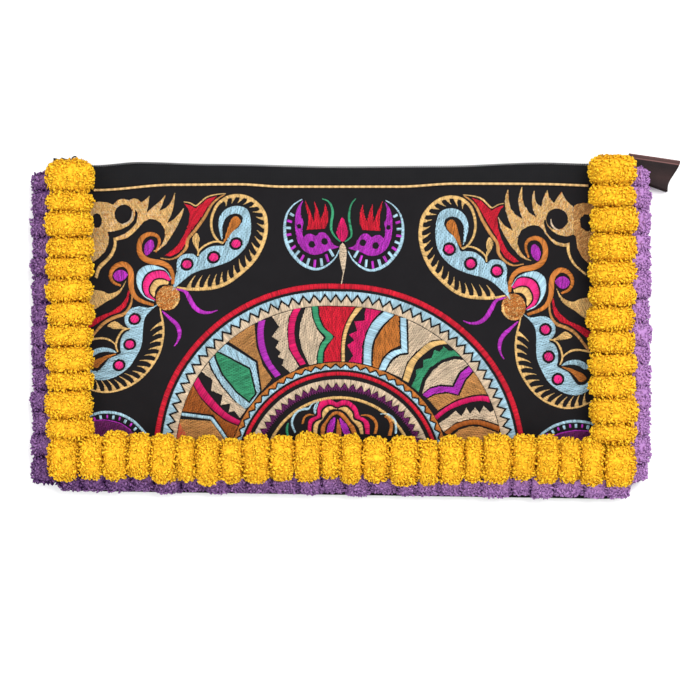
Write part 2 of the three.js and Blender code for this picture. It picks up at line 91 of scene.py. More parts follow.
@dataclass(frozen=True)
class BagShape:
    """Driving sizes of the cloth body, the same as the solid's."""

    width: float = 318.0
    height: float = 181.0
    bottom_skew: float = 4.4
    corner: float = 12.0
    wall: float = 1.8
    seam: float = 4.6
    fullness: float = 11.0
    border: float = 26.0
    side_run: float = 42.0
    top_run: float = 62.0
    back_curl: float = 13.0
    gap: float = 0.3
    tape: float = 13.0
    chain_thickness: float = 2.2
    chain_width: float = 3.6
    ripple: float = 0.35
    crease_below: float = 6.0
    crease_reach: float = 5.0
    crease_share: float = 0.8

    crest_rows: tuple = (
        (-1.0, 0.33), (-0.95, 0.14), (-0.86, -0.06), (-0.7, 0.08), (-0.45, 0.0), (0.0, -0.1),
        (0.35, -0.08), (0.7, 0.06), (0.88, 0.0), (0.95, 0.14), (1.0, 0.3),
    )
    foot_rows: tuple = (
        (-1.0, -0.16), (-0.85, -0.14), (-0.58, 0.06), (-0.35, 0.08), (-0.2, -0.02),
        (0.2, -0.02), (0.4, 0.11), (0.7, 0.1), (1.0, 0.0),
    )

    @property
    def half(self) -> float:
        """Half of the body's width."""
        return self.width / 2

    @property
    def bottom(self) -> float:
        """The bottom seam's y at the left."""
        return -self.height / 2

    @property
    def top(self) -> float:
        """The y that the zip's crest swings about."""
        return self.height / 2

    @property
    def border_top(self) -> float:
        """Height of the front's flat border."""
        return self.seam + self.gap / 2 + self.wall

    @property
    def seam_low(self) -> float:
        """Height of the back's outer face at the seam."""
        return self.seam - self.gap / 2 - self.wall

    def curve(self, rows: tuple, x: Array) -> Array:
        """Reads a smooth curve from a table.

        Args:
            rows: Pairs of place across the half width and rise.
            x: Places across the bag.

        Returns:
            The rise at each x.
        """
        table = np.array(rows)
        across = np.clip(np.asarray(x, float) / self.half, -1, 1)
        k = np.clip(np.searchsorted(table[:, 0], across), 1, len(table) - 1)
        before, after = table[k - 1], table[k]
        t = (across - before[..., 0]) / (after[..., 0] - before[..., 0])
        return before[..., 1] + (after[..., 1] - before[..., 1]) * ease(t)

    def crest(self, x: Array) -> Array:
        """The zip's crest over x."""
        return self.top + self.tape * self.curve(self.crest_rows, x)

    def foot(self, x: Array) -> Array:
        """The foot of the zip tape, where the gold cord runs."""
        return self.top - self.tape + self.tape * self.curve(self.foot_rows, x)

    def tape_end(self, x: Array) -> Array:
        """The tape's edge at the chain."""
        return self.crest(x) - self.chain_thickness - self.gap

    def base(self, x: Array) -> Array:
        """The bottom seam."""
        return self.bottom - self.bottom_skew * (np.asarray(x, float) / self.half + 1) / 2

    def half_at(self, above: Array) -> Array:
        """Half of the width at a height above the bottom seam."""
        dip = np.clip(self.corner - np.asarray(above, float), 0, self.corner)
        return self.half - self.corner + np.sqrt(self.corner**2 - dip**2)

    def front(self, x: Array, y: Array) -> Array:
        """Height of the front's outer face."""
        x, y = np.asarray(x, float), np.asarray(y, float)
        above = y - self.base(x)
        sides = ease((self.half_at(above) - np.abs(x) - self.border) / self.side_run)
        rise = ease((above - self.border) / self.side_run)
        fall = 1 - (1 - np.clip((self.crest(x) - y) / self.top_run, 0, 1)) ** 2
        dome = sides * rise * fall
        pucker = sway(x, 7.1, swing=1.3, beside=y, slow=17) * sway(y, 9.3, swing=1.1, beside=x, slow=23)
        near_cord = np.exp(-(((self.foot(x) - y - self.crease_below) / self.crease_reach) ** 2))
        crease = near_cord * sway(x, 4.3, swing=2, beside=x, slow=19)
        rough = dome * pucker + self.crease_share * fall * crease
        return self.border_top + self.fullness * dome + self.ripple * rough

    def back(self, x: Array, y: Array) -> Array:
        """Height of the back's outer face."""
        x, y = np.asarray(x, float), np.asarray(y, float)
        above = y - self.base(x)
        side = self.half_at(above) - np.abs(x)
        edge = np.minimum(np.minimum(side, above), self.tape_end(x) - y)
        return self.seam_low * (1 - np.clip(edge / self.back_curl, 0, 1)) ** 2


@dataclass(frozen=True)
class TabShape:
    """Sizes of the folded leather tab, whose fold falls from its root to its end."""

    start: float
    top: float
    length: float = 28.5
    root: float = 14.0
    end: float = 17.5
    drop: float = 4.0
    slant: float = 7.0
    sag: float = 1.6
    wall: float = 1.3
    inner_half: float = 0.9
    slant_rate: float = 1.15
    wave: float = 0.5
    end_inset: float = 0.25

    @property
    def fall(self) -> float:
        """How far the fold falls over each millimetre."""
        return self.drop / self.length

    @property
    def line_top(self) -> float:
        """Where the fold's line would meet the bag's middle."""
        return self.top + self.fall * self.start


@dataclass(frozen=True)
class RowSpec:
    """One row of pompoms.

    Attributes:
        node: The solid that the row stands for.
        start: Where the row begins, in millimetres.
        end: Where it ends.
        lengths: The pompoms' lengths along the row, as shares of their mean.
        width: Across the row.
        height: Off the cloth.
        floor: Height of the row's underside.
        phase: Sets the sizes apart from those of the other rows.
        slot: The record's material slot.
        spacing: Distance of the strands.
        power: How square the pompoms are.
        swing: How far the row waves to its left and right.
        ends: How far the first and the last pompom lie to the row's left.
    """

    node: str
    start: tuple[float, float]
    end: tuple[float, float]
    lengths: tuple[float, ...]
    width: float
    height: float
    floor: float
    phase: float
    slot: str
    spacing: float
    power: float
    swing: float = 0.0
    ends: tuple[float, float] = (0.0, 0.0)


def ease(t: Array) -> Array:
    """A smooth step from 0 to 1."""
    t = np.clip(t, 0, 1)
    return t * t * (3 - 2 * t)


def sway(along: Array, period: float, swing: float, beside: Array, slow: float) -> Array:
    """A wave over along whose phase swings with a slow wave over beside."""
    return np.sin(along / period + swing * np.sin(beside / slow))


def flow(points: Array, closed: bool = False, step: float = 0.9) -> Array:
    """Draws a smooth line through points.

    Args:
        points: Control points in millimetres.
        closed: Whether the line comes back to its start.
        step: Length of one piece of the line.

    Returns:
        The line's points.
    """
    if closed:
        around = np.vstack([points[-1], points, points[0], points[1]])
    else:
        around = np.vstack([2 * points[0] - points[1], points, 2 * points[-1] - points[-2]])
    pieces = []
    for a, b, c, d in zip(around, around[1:], around[2:], around[3:]):
        count = max(2, int(np.linalg.norm(c - b) / step) + 1)
        t = np.linspace(0, 1, count, endpoint=False)[:, None]
        bend = (2 * a - 5 * b + 4 * c - d) * t**2
        twist = (3 * b - a - 3 * c + d) * t**3
        pieces.append(0.5 * (2 * b + (c - a) * t + bend + twist))
    if not closed:
        pieces.append(points[-1:])
    return np.vstack(pieces)


def resample(line: Array, count: int) -> Array:
    """Spaces points evenly along a line."""
    run = np.concatenate([[0], np.cumsum(np.linalg.norm(np.diff(line, axis=0), axis=1))])
    at = np.linspace(0, run[-1], count)
    return np.column_stack([np.interp(at, run, line[:, k]) for k in range(line.shape[1])])


def line_length(line: Array) -> float:
    """Length of a line."""
    return float(np.linalg.norm(np.diff(line, axis=0), axis=1).sum())


class Tree:
    """A node tree that is built through one method."""

    def __init__(self, tree: bpy.types.NodeTree) -> None:
        self.tree = tree

    def node(self, kind: str, settings: dict | None = None, **inputs: object) -> bpy.types.Node:
        """Adds a node.

        Args:
            kind: The node's type.
            settings: Its properties.
            **inputs: Its inputs by name, with underscores for spaces, or i0, i1 by position.
                Each is a constant, a socket or a Value.

        Returns:
            The node.
        """
        made = self.tree.nodes.new(kind)
        for name, value in (settings or {}).items():
            setattr(made, name, value)
        for name, value in inputs.items():
            if name[0] == "i" and name[1:].isdigit():
                target = made.inputs[int(name[1:])]
            else:
                target = made.inputs[name.replace("_", " ")]
            source = value.socket if isinstance(value, Value) else value
            if isinstance(source, bpy.types.NodeSocket):
                self.tree.links.new(source, target)
            else:
                target.default_value = source
        return made

    def value(self, made: bpy.types.Node, output: str | int = 0) -> "Value":
        """Wraps a node's output."""
        return Value(self, made.outputs[output])


class Value:
    """A number in a node tree, which takes part in plain arithmetic."""

    def __init__(self, owner: Tree, socket: bpy.types.NodeSocket) -> None:
        self.owner = owner
        self.socket = socket

    def _math(self, operation: str, *others: object) -> "Value":
        """Adds a maths node on this number and the others."""
        inputs = {f"i{k}": value for k, value in enumerate((self, *others))}
        made = self.owner.node("ShaderNodeMath", {"operation": operation}, **inputs)
        return self.owner.value(made)

    def __add__(self, other: object) -> "Value":
        return self._math("ADD", other)

    def __sub__(self, other: object) -> "Value":
        return self._math("SUBTRACT", other)

    def __mul__(self, other: object) -> "Value":
        return self._math("MULTIPLY", other)

    def sin(self) -> "Value":
        """The sine."""
        return self._math("SINE")

    def size(self) -> "Value":
        """The number without its sign."""
        return self._math("ABSOLUTE")

    def tent(self, middle: float, reach: float) -> "Value":
        """1 at middle, which falls to 0 at reach away from it."""
        off = (self - middle).size() * (-1 / reach) + 1.0
        return off._math("MAXIMUM", 0.0)


class Paint(Tree):
    """A surface material."""

    def __init__(self, name: str) -> None:
        self.material = bpy.data.materials.new(name)
        self.material.use_nodes = True
        self.material.node_tree.nodes.clear()
        super().__init__(self.material.node_tree)
        self.place = self.node("ShaderNodeTexCoord").outputs["Object"]

    def axes(self) -> tuple[Value, Value, Value]:
        """The place on the piece in millimetres, by axis."""
        split = self.node("ShaderNodeSeparateXYZ", i0=self.place)
        return tuple(self.value(split, k) * (1 / MM) for k in range(3))

    def noise(self, period: float, detail: float = 3.0) -> Value:
        """Noise whose features are about period millimetres across."""
        made = self.node("ShaderNodeTexNoise", None, Vector=self.place, Scale=1 / (period * MM),
            Detail=detail)
        return self.value(made, "Fac")

    def attribute(self, name: str) -> Value:
        """A number stored on the mesh."""
        return self.value(self.node("ShaderNodeAttribute", {"attribute_name": name}), "Fac")

    def blend(self, amount: Value, low: tuple, high: tuple) -> Value:
        """Colours from low to high as amount goes from 0 to 1."""
        made = self.node("ShaderNodeValToRGB", None, Fac=amount)
        made.color_ramp.elements[0].color = (*low, 1)
        made.color_ramp.elements[1].color = (*high, 1)
        return self.value(made)

    def bump(self, height: Value, depth: float, strength: float = 1.0) -> Value:
        """A normal that is bent by height, depth millimetres deep."""
        made = self.node("ShaderNodeBump", None, Height=height, Distance=depth * MM, Strength=strength)
        return self.value(made)

    def finish(self, **inputs: object) -> bpy.types.Material:
        """Adds the surface itself and returns the material."""
        surface = self.node("ShaderNodeBsdfPrincipled", None, **inputs)
        self.node("ShaderNodeOutputMaterial", None, Surface=surface.outputs[0])
        return self.material


class Palette:
    """All the bag's materials."""

    def __init__(self, tab: TabShape) -> None:
        self.cloth = self._cloth("black cloth", 0.42, low=(0.004, 0.0036, 0.0042),
            high=(0.010, 0.009, 0.0105))
        self.tape = self._cloth("zip tape", 0.9, low=(0.004, 0.004, 0.0048), high=(0.0095, 0.0095, 0.0105))
        self.teeth = self._plain("nylon", (0.012, 0.012, 0.013), roughness=0.6)
        self.leather = self._leather(tab.line_top, tab.fall)
        self.cord = self._thread("gold cord", (0.62, 0.40, 0.17))
        self.yellow = self._yarn(
            "yellow yarn", dark=(0.50, 0.165, 0.003), light=(0.92, 0.565, 0.027), light_to_right=0.0, low=0.0
        )
        # The purple yarn is painted lighter to the right, where more light falls, and darker at the bottom,
        # as painted shade.
        self.purple = self._yarn(
            "purple yarn", dark=(0.048, 0.012, 0.08), light=(0.42, 0.215, 0.48), light_to_right=0.0021, low=0.2
        )
        self.threads = {
            thread: self._thread(f"{thread.name.lower()} thread", thread.value) for thread in Thread
        }
        self.floor = self._plain("floor", (0.93, 0.93, 0.93), roughness=0.9)
        self.tab = tab

    def _plain(self, name: str, colour: tuple, roughness: float) -> bpy.types.Material:
        """One even colour."""
        return Paint(name).finish(Base_Color=(*colour, 1), Roughness=roughness, Specular_IOR_Level=0.2)

    def _cloth(self, name: str, pitch: float, low: tuple, high: tuple) -> bpy.types.Material:
        """Woven cloth with pitch millimetres from thread to thread."""
        paint = Paint(name)
        x, y, _ = paint.axes()
        turn = math.pi / pitch
        weave = (x * turn).sin().size() * 0.5 + (y * turn).sin().size() * 0.5
        uneven_tone = paint.noise(9.0)
        return paint.finish(
            Base_Color=paint.blend(weave * 0.5 + uneven_tone * 0.5, low, high),
            Roughness=0.9,
            Normal=paint.bump(weave + paint.noise(1.1) * 0.6, 0.12, 0.7),
            Specular_IOR_Level=0.12,
        )

    def _thread(self, name: str, colour: tuple) -> bpy.types.Material:
        """Thread whose tone shifts from stitch to stitch."""
        paint = Paint(name)
        shade = paint.attribute("shade") * 0.8 + paint.noise(1.6) * 0.3 + paint.noise(8.0) * 0.45 - 0.28
        dark = tuple(channel * 0.42 for channel in colour)
        light = tuple(min(1, channel * 1.45 + 0.004) for channel in colour)
        return paint.finish(
            Base_Color=paint.blend(shade, dark, light),
            Roughness=0.55,
            Normal=paint.bump(paint.noise(0.22, 2.0), 0.06, 0.6),
            Specular_IOR_Level=0.2,
        )

    def _yarn(self, name: str, dark: tuple, light: tuple, light_to_right: float, low: float) -> bpy.types.Material:
        """Yarn with painted light and shade: lighter to the right by a given amount a millimetre, darker at
        the bottom by low, at the strands' roots and beside the gaps between pompoms.
        """
        paint = Paint(name)
        x, y, _ = paint.axes()
        # Painted shade: each strand is darker at its root, where tip is near 0, and lighter towards its
        # end.
        strand = paint.attribute("shade") * 0.28 + paint.attribute("tip") * 0.3 + paint.noise(10.0) * 0.3
        ground = paint.attribute("ground") * (paint.noise(1.3, 2.0) * 0.9 - 0.2)
        # Painted shade: the yarn grows darker towards the bottom rows, by low.
        under = (y * -1).tent(95.0, 32.0) * low
        # Painted shade beside each gap between pompoms, where swell is low, and painted light that grows to
        # the right along x.
        shade = strand + ground + paint.attribute("swell") * 0.5 + x * light_to_right - under - 0.2
        return paint.finish(
            Base_Color=paint.blend(shade, dark, light),
            Roughness=0.95,
            Normal=paint.bump(paint.noise(0.8, 3.0), 0.3, 0.8),
            Specular_IOR_Level=0.12,
        )

    def _leather(self, tab_top: float, tab_fall: float) -> bpy.types.Material:
        """Leather with painted highlights: pale lines where the fold's top is lit, along the line y =
        tab_top - tab_fall * x.
        """
        paint = Paint("brown leather")
        grain = paint.noise(0.9, 5.0)
        x, y, _ = paint.axes()
        below = (y + x * tab_fall) * -1 + tab_top
        # Painted highlights: pale lines where light falls on the top of the fold.
        lines = below.tent(0.3, 0.55) * 0.5 + below.tent(2.5, 0.5) * 0.6 + below.tent(1.3, 1.4) * 0.22
        # A faint lighter band about 11 mm below the fold is painted sheen; the noise adds random mottling.
        uneven_tone = below.tent(11.0, 6.0) * 0.05 + paint.noise(5.0) * 0.04
        colour = paint.blend(lines + uneven_tone, (0.0062, 0.0036, 0.0042), (0.27, 0.125, 0.115))
        return paint.finish(
            Base_Color=colour,
            Roughness=grain * 0.25 + 0.5,
            Normal=paint.bump(grain, 0.18, 0.8),
            Specular_IOR_Level=0.14,
        )


def make_mesh(
    name: str,
    vertices: Array,
    faces: Iterable[Sequence[int]],
    material: bpy.types.Material | None,
    attributes: dict[str, Array] | None = None,
    smooth: bool = True,
) -> bpy.types.Object:
    """Makes an object from vertices in millimetres.

    Args:
        name: The object's name.
        vertices: One row a vertex.
        faces: Vertex numbers of each face, or an array with a row a face.
        material: The finish, or None.
        attributes: Numbers to store on the vertices, by name.
        smooth: Whether to shade it smooth.

    Returns:
        The object, linked to the scene.
    """
    mesh = bpy.data.meshes.new(name)
    listed = faces if isinstance(faces, list) else faces.tolist()
    mesh.from_pydata((np.asarray(vertices) * MM).tolist(), [], listed)
    if smooth:
        mesh.shade_smooth()
    for key, values in (attributes or {}).items():
        kind = "FLOAT_VECTOR" if values.ndim == 2 else "FLOAT"
        layer = mesh.attributes.new(key, kind, "POINT")
        layer.data.foreach_set("vector" if values.ndim == 2 else "value", values.astype(np.float32).ravel())
    if material:
        mesh.materials.append(material)
    made = bpy.data.objects.new(name, mesh)
    bpy.context.scene.collection.objects.link(made)
    return made


def grid_faces(rows: int, columns: int, start: int = 0, wrap: bool = False) -> Array:
    """Faces of a grid of vertices that runs row by row, counterclockwise."""
    j, i = np.meshgrid(np.arange(rows - 1), np.arange(columns if wrap else columns - 1), indexing="ij")
    a = start + j * columns + i
    b = start + j * columns + (i + 1) % columns
    return np.stack([a, b, b + columns, a + columns], -1).reshape(-1, 4)


def wall_parts(outer: Array, inner: Array) -> tuple[Array, Array]:
    """Works out a closed wall between two grids, each of shape (rows, columns, 3).

    Args:
        outer: The face that is seen, counterclockwise from outside.
        inner: The hidden face.

    Returns:
        Vertices and faces.
    """
    rows, columns = outer.shape[:2]
    count = rows * columns
    number = np.arange(count).reshape(rows, columns)
    rim = np.concatenate([number[0, :-1], number[:-1, -1], number[-1, :0:-1], number[:0:-1, 0]])
    after = np.roll(rim, -1)
    sides = np.stack([rim + count, after + count, after, rim], -1)
    faces = np.vstack([grid_faces(rows, columns), grid_faces(rows, columns, count)[:, ::-1], sides])
    return np.vstack([outer.reshape(-1, 3), inner.reshape(-1, 3)]), faces


def make_wall(name: str, outer: Array, inner: Array, material: bpy.types.Material) -> bpy.types.Object:
    """Makes an object of the closed wall between two grids."""
    vertices, faces = wall_parts(outer, inner)
    return make_mesh(name, vertices, faces, material)


def joined(parts: Sequence[tuple[Array, list]]) -> tuple[Array, list[list[int]]]:
    """Joins several pairs of vertices and faces into one."""
    faces, count = [], 0
    for vertices, part in parts:
        faces.extend([k + count for k in face] for face in part)
        count += len(vertices)
    return np.vstack([vertices for vertices, _ in parts]), faces


def closed_skin(rows: int, sides: int) -> list[list[int]]:
    """Faces of a row of rings, with a flat cap at each end."""
    faces = grid_faces(rows, sides, wrap=True)[:, ::-1].tolist()
    last = (rows - 1) * sides
    return [*faces, list(range(sides)), [last + k for k in range(sides - 1, -1, -1)]]


def tube(path: Array, radius: Array | float, sides: int) -> tuple[Array, list[list[int]]]:
    """Sweeps a round section along a path, with a flat cap at each end.

    Args:
        path: Points in millimetres.
        radius: One for all points or one each.
        sides: Corners of the section.

    Returns:
        Vertices and faces.
    """
    ahead = np.gradient(path, axis=0)
    ahead /= np.linalg.norm(ahead, axis=1)[:, None]
    up = np.array([0.0, 0.0, 1.0]) if abs(ahead[:, 2]).max() < 0.95 else np.array([1.0, 0.0, 0.0])
    aside = np.cross(ahead, up)
    aside /= np.linalg.norm(aside, axis=1)[:, None]
    over = np.cross(aside, ahead)
    turn = 2 * np.pi * np.arange(sides) / sides
    reach = np.broadcast_to(np.asarray(radius, float), (len(path),))[:, None, None]
    ring = aside[:, None] * np.cos(turn)[:, None] + over[:, None] * np.sin(turn)[:, None]
    return (path[:, None] + reach * ring).reshape(-1, 3), closed_skin(len(path), sides)


@dataclass(frozen=True)
class CordShape:
    """Sizes of the gold cord and its two plies."""

    half: float = 136.5
    steps: int = 700
    lift: float = 0.75
    lay: float = 3.2
    swing: float = 0.33
    radius: float = 0.41
    sides: int = 6


@dataclass(frozen=True)
class ChainShape:
    """Sizes of the zip's teeth, and where the first and the last one lie."""

    pitch: float = 1.25
    start_inset: float = 4.2
    end_inset: float = 0.6
    radius: float = 0.44
    sides: int = 6
    tooth: tuple = ((0, 0, -1.75), (0, 0.55, -1.5), (0, 0.75, 0), (0, 0.55, 1.5), (0, 0, 1.75))


@dataclass(frozen=True)
class SliderShape:
    """Sizes of the slider's saddle and of the loop on it."""

    inset: float = 9.0
    reach: float = 4.5
    roof: float = 0.2
    wall: float = 0.45
    arch: float = 1.2
    roundness: float = 0.6
    legs: tuple = (2.0, 1.3, 0.6)
    loop_ahead: float = 2.6
    loop_reach: float = 1.7
    loop_height: float = 2.3
    loop_radius: float = 0.42
    loop_sides: int = 8


class Sheet(NamedTuple):
    """One wall of cloth.

    Attributes:
        node: The solid that it stands for.
        lower: Its lower edge over x.
        upper: Its upper edge over x.
        height: Height of its outer face.
        material: Its finish.
        pitch: Distance of its vertices.
        facing: 1 on the front and -1 on the back.
    """

    node: str
    lower: Callable
    upper: Callable
    height: Callable
    material: bpy.types.Material
    pitch: float
    facing: int


class Body:
    """The cloth body and what is sewn to its top."""

    teeth_cover = 1.3

    def __init__(self, shape: BagShape, palette: Palette) -> None:
        self.shape = shape
        self.palette = palette

    def _grid(self, sheet: Sheet) -> Array:
        """Points of a sheet's outer face, row by row from its lower edge."""
        shape = self.shape
        columns = int(shape.width / sheet.pitch)
        middle = float(sheet.upper(0) - sheet.lower(0))
        rows = max(4, int(middle / sheet.pitch))
        share = np.linspace(-1, 1, columns + 1)
        base = sheet.lower(share * shape.half)
        full = sheet.upper(share * shape.half) - base
        steps = np.linspace(0, 1, rows + 1)
        if middle > 2 * shape.corner:
            corner = shape.corner / middle
            round_steps = corner * (1 - np.cos(np.linspace(0, np.pi / 2, 6)))
            steps = np.concatenate([round_steps, np.linspace(corner, 1, rows)[1:]])
        above = steps[:, None] * full + (base - shape.base(share * shape.half))
        x = share * shape.half_at(above)
        y = base + steps[:, None] * full
        return np.stack([x, y, sheet.height(x, y)], -1)

    def _above_foot(self, x: Array) -> Array:
        """The tape's lower edge."""
        return self.shape.foot(x) + self.shape.gap

    def _under_teeth(self, x: Array) -> Array:
        """The tape's upper edge, which lies under the teeth."""
        return self.shape.tape_end(x) + self.teeth_cover

    def build(self) -> None:
        """Makes the panels, tapes, chain, slider, cord and tab."""
        shape, palette = self.shape, self.palette
        panel = (shape.base, shape.foot)
        tape = (self._above_foot, self._under_teeth)
        for sheet in (
            Sheet("front_panel", *panel, shape.front, palette.cloth, pitch=2.0, facing=1),
            Sheet("zip_tape_front", *tape, shape.front, palette.tape, pitch=2.0, facing=1),
            Sheet("back_panel", *panel, shape.back, palette.cloth, pitch=3.0, facing=-1),
            Sheet("zip_tape_back", *tape, shape.back, palette.tape, pitch=2.5, facing=-1),
        ):
            outer = self._grid(sheet)[:, :: sheet.facing]
            inner = outer - sheet.facing * np.array([0, 0, shape.wall])
            place(make_wall(f"{sheet.node}_cloth", outer, inner, sheet.material), sheet.node,
                slot_of(sheet.node))
        self._cord()
        self._chain()
        self._slider()
        self._tab()

    def _cord(self) -> None:
        """Two plies of gold thread twisted together along the tape's foot."""
        shape, size = self.shape, CordShape()
        x = np.linspace(-size.half, size.half, size.steps)
        path = np.column_stack([x, shape.foot(x), shape.front(x, shape.foot(x)) + size.lift])
        plies = []
        for ply in range(2):
            angle = 2 * np.pi * x / size.lay + ply * np.pi
            swing = size.swing * np.column_stack([np.zeros_like(x), np.cos(angle), np.sin(angle)])
            plies.append(tube(path + swing, size.radius, size.sides))
        vertices, faces = joined(plies)
        shade = 0.5 + 0.3 * np.sin(vertices[:, 0] * 1.7)
        made = make_mesh("gold_cord_plies", vertices, faces, self.palette.cord, {"shade": shade})
        place(made, "gold_cord", "gold_thread")

    def _chain(self) -> None:
        """A tooth at each step of the crest, by Geometry Nodes."""
        shape, size = self.shape, ChainShape()
        count = int(shape.width / size.pitch)
        x = np.linspace(-shape.half + size.start_inset, shape.half - size.end_inset, count)
        y = shape.crest(x) - shape.chain_thickness / 2
        line = np.column_stack([x, y, np.full_like(x, shape.seam)])
        spine = make_mesh("chain", line, [], None, smooth=False)
        tooth = make_mesh("tooth", *tube(flow(np.array(size.tooth), step=0.6), size.radius, size.sides),
            None)
        scatter_on_vertices(spine, tooth, self.palette.teeth)
        bpy.data.objects.remove(tooth)
        place(spine, "zip_chain", "teeth")

    def _slider(self) -> None:
        """The zip's slider: a rounded saddle along the chain, with a low loop on it."""
        shape, size = self.shape, SliderShape()
        middle = -shape.half + size.inset
        half = shape.chain_width / 2 + shape.gap
        x = middle + size.reach * np.sin(np.linspace(-np.pi / 2, np.pi / 2, 13))
        turn = np.radians(np.linspace(-90, 90, 17))
        legs = np.array(size.legs)

        def skin(reach: float, lift: float) -> Array:
            """One face of the saddle, ring by ring along the chain."""
            across = np.sign(turn) * np.abs(np.sin(turn)) ** size.roundness
            arch = size.arch * (np.abs(np.cos(turn)) ** size.roundness - 1)
            z = reach * np.concatenate([-np.ones(len(legs)), across, np.ones(len(legs))])
            y = np.concatenate([arch[0] - legs, arch, arch[-1] - legs[::-1]])
            rings = [
                np.column_stack([np.full_like(z, at), y + top, shape.seam + z])
                for at, top in zip(x, shape.crest(x) + lift)
            ]
            return np.stack(rings)

        saddle, faces = wall_parts(skin(half + size.wall, size.roof + size.wall), skin(half, size.roof))
        swing = np.linspace(0, np.pi, 15)
        root = middle + size.loop_ahead
        at = root - size.loop_reach * np.cos(swing)
        height = float(shape.crest(root)) + size.roof + size.loop_height * np.sin(swing)
        path = np.column_stack([at, height, np.full_like(at, shape.seam)])
        loop = tube(path, size.loop_radius, size.loop_sides)
        made = make_mesh("slider_and_loop", *joined([(saddle, faces.tolist()), loop]), self.palette.teeth)
        place(made, "zip_slider", "slider")

    def _tab(self) -> None:
        """The folded leather tab."""
        shape, size = self.shape, self.palette.tab
        along = np.linspace(0, 1, 26)
        crest = size.top - size.drop * along
        width = size.root + (size.end - size.root) * along
        turn = np.radians(np.linspace(-90, 90, 13))

        def skin(half: float, inset: float) -> Array:
            """One face of the folded tab, from its root to its end."""
            rows = []
            for t, top, wide in zip(along, crest, width):
                fold = top - size.inner_half - size.wall
                flat = np.linspace(top - wide + inset, fold, 10)[:-1]
                y = np.concatenate([flat, fold + half * np.cos(turn), flat[::-1]])
                z = np.concatenate([np.full(len(flat), half), -half * np.sin(turn),
                    np.full(len(flat), -half)])
                down = (top - y) / size.end
                slant = size.slant * t * ease(down * size.slant_rate)
                x = size.start + size.length * t - slant - inset * (t > 0.99)
                wave = size.wave * np.sin(3.0 * t + 2.4 * down)
                rows.append(np.column_stack([x, y, shape.seam - size.sag * t + z + wave * t]))
            return np.stack(rows)[:, ::-1]

        outer, inner = skin(size.inner_half + size.wall, 0.0), skin(size.inner_half, size.end_inset)
        place(make_wall("leather_tab", outer, inner, self.palette.leather), "zip_end_tab", "leather")


def slot_of(node: str) -> str:
    """The record's material slot of a cloth node."""
    return "tape" if node.startswith("zip_tape") else "cloth"


def place(made: bpy.types.Object, node: str | None, slot: str) -> None:
    """Fixes a finished piece to the frame.

    Args:
        made: The piece.
        node: The solid that it stands for, or None if it is added.
        slot: The record's material slot; not used.
    """
    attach(made, "root")
    if node:
        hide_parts(node)


def run_tree(target: bpy.types.Object, tree: bpy.types.NodeTree, inputs: dict[str, object]) -> None:
    """Runs a geometry tree on an object and keeps the result as a plain mesh."""
    modifier = target.modifiers.new("made", "NODES")
    modifier.node_group = tree
    for item in tree.interface.items_tree:
        if item.in_out == "INPUT" and item.name in inputs:
            modifier[item.identifier] = inputs[item.name]
    bpy.context.view_layer.update()
    graph = bpy.context.evaluated_depsgraph_get()
    mesh = bpy.data.meshes.new_from_object(
        target.evaluated_get(graph), preserve_all_data_layers=True, depsgraph=graph
    )
    target.modifiers.clear()
    old = target.data
    target.data = mesh
    bpy.data.meshes.remove(old)


def new_tree(name: str, inputs: dict[str, str]) -> tuple[Tree, bpy.types.Node, bpy.types.Node]:
    """Starts a geometry tree with one geometry in and out and the named further inputs."""
    group = bpy.data.node_groups.new(name, "GeometryNodeTree")
    group.interface.new_socket("Geometry", in_out="INPUT", socket_type="NodeSocketGeometry")
    for key, kind in inputs.items():
        group.interface.new_socket(key, in_out="INPUT", socket_type=kind)
    group.interface.new_socket("Geometry", in_out="OUTPUT", socket_type="NodeSocketGeometry")
    tree = Tree(group)
    return tree, tree.node("NodeGroupInput"), tree.node("NodeGroupOutput")


def scatter_on_vertices(
    spine: bpy.types.Object, thing: bpy.types.Object, material: bpy.types.Material
) -> None:
    """Puts a copy of thing on each vertex of spine."""
    tree, given, result = new_tree(f"{spine.name} steps", {})
    source = tree.node("GeometryNodeObjectInfo", None, Object=thing)
    copied = source.outputs["Geometry"]
    placed = tree.node("GeometryNodeInstanceOnPoints", None, Points=given.outputs[0], Instance=copied)
    real = tree.node("GeometryNodeRealizeInstances", None, Geometry=placed.outputs[0])
    coated = tree.node("GeometryNodeSetMaterial", None, Geometry=real.outputs[0], Material=material)
    tree.tree.links.new(coated.outputs[0], result.inputs[0])
    run_tree(spine, tree.tree, {})


class Ball(NamedTuple):
    """The core of one pompom.

    Attributes:
        vertices: Its points, ring by ring.
        spray: The way that a strand stands at each point.
        cover: 1 where strands grow and 0 elsewhere.
        swell: How far each point is from the gap beside the next pompom; the yarn is painted darker, as
            shade, near the gap.
    """

    vertices: Array
    spray: Array
    cover: Array
    swell: Array


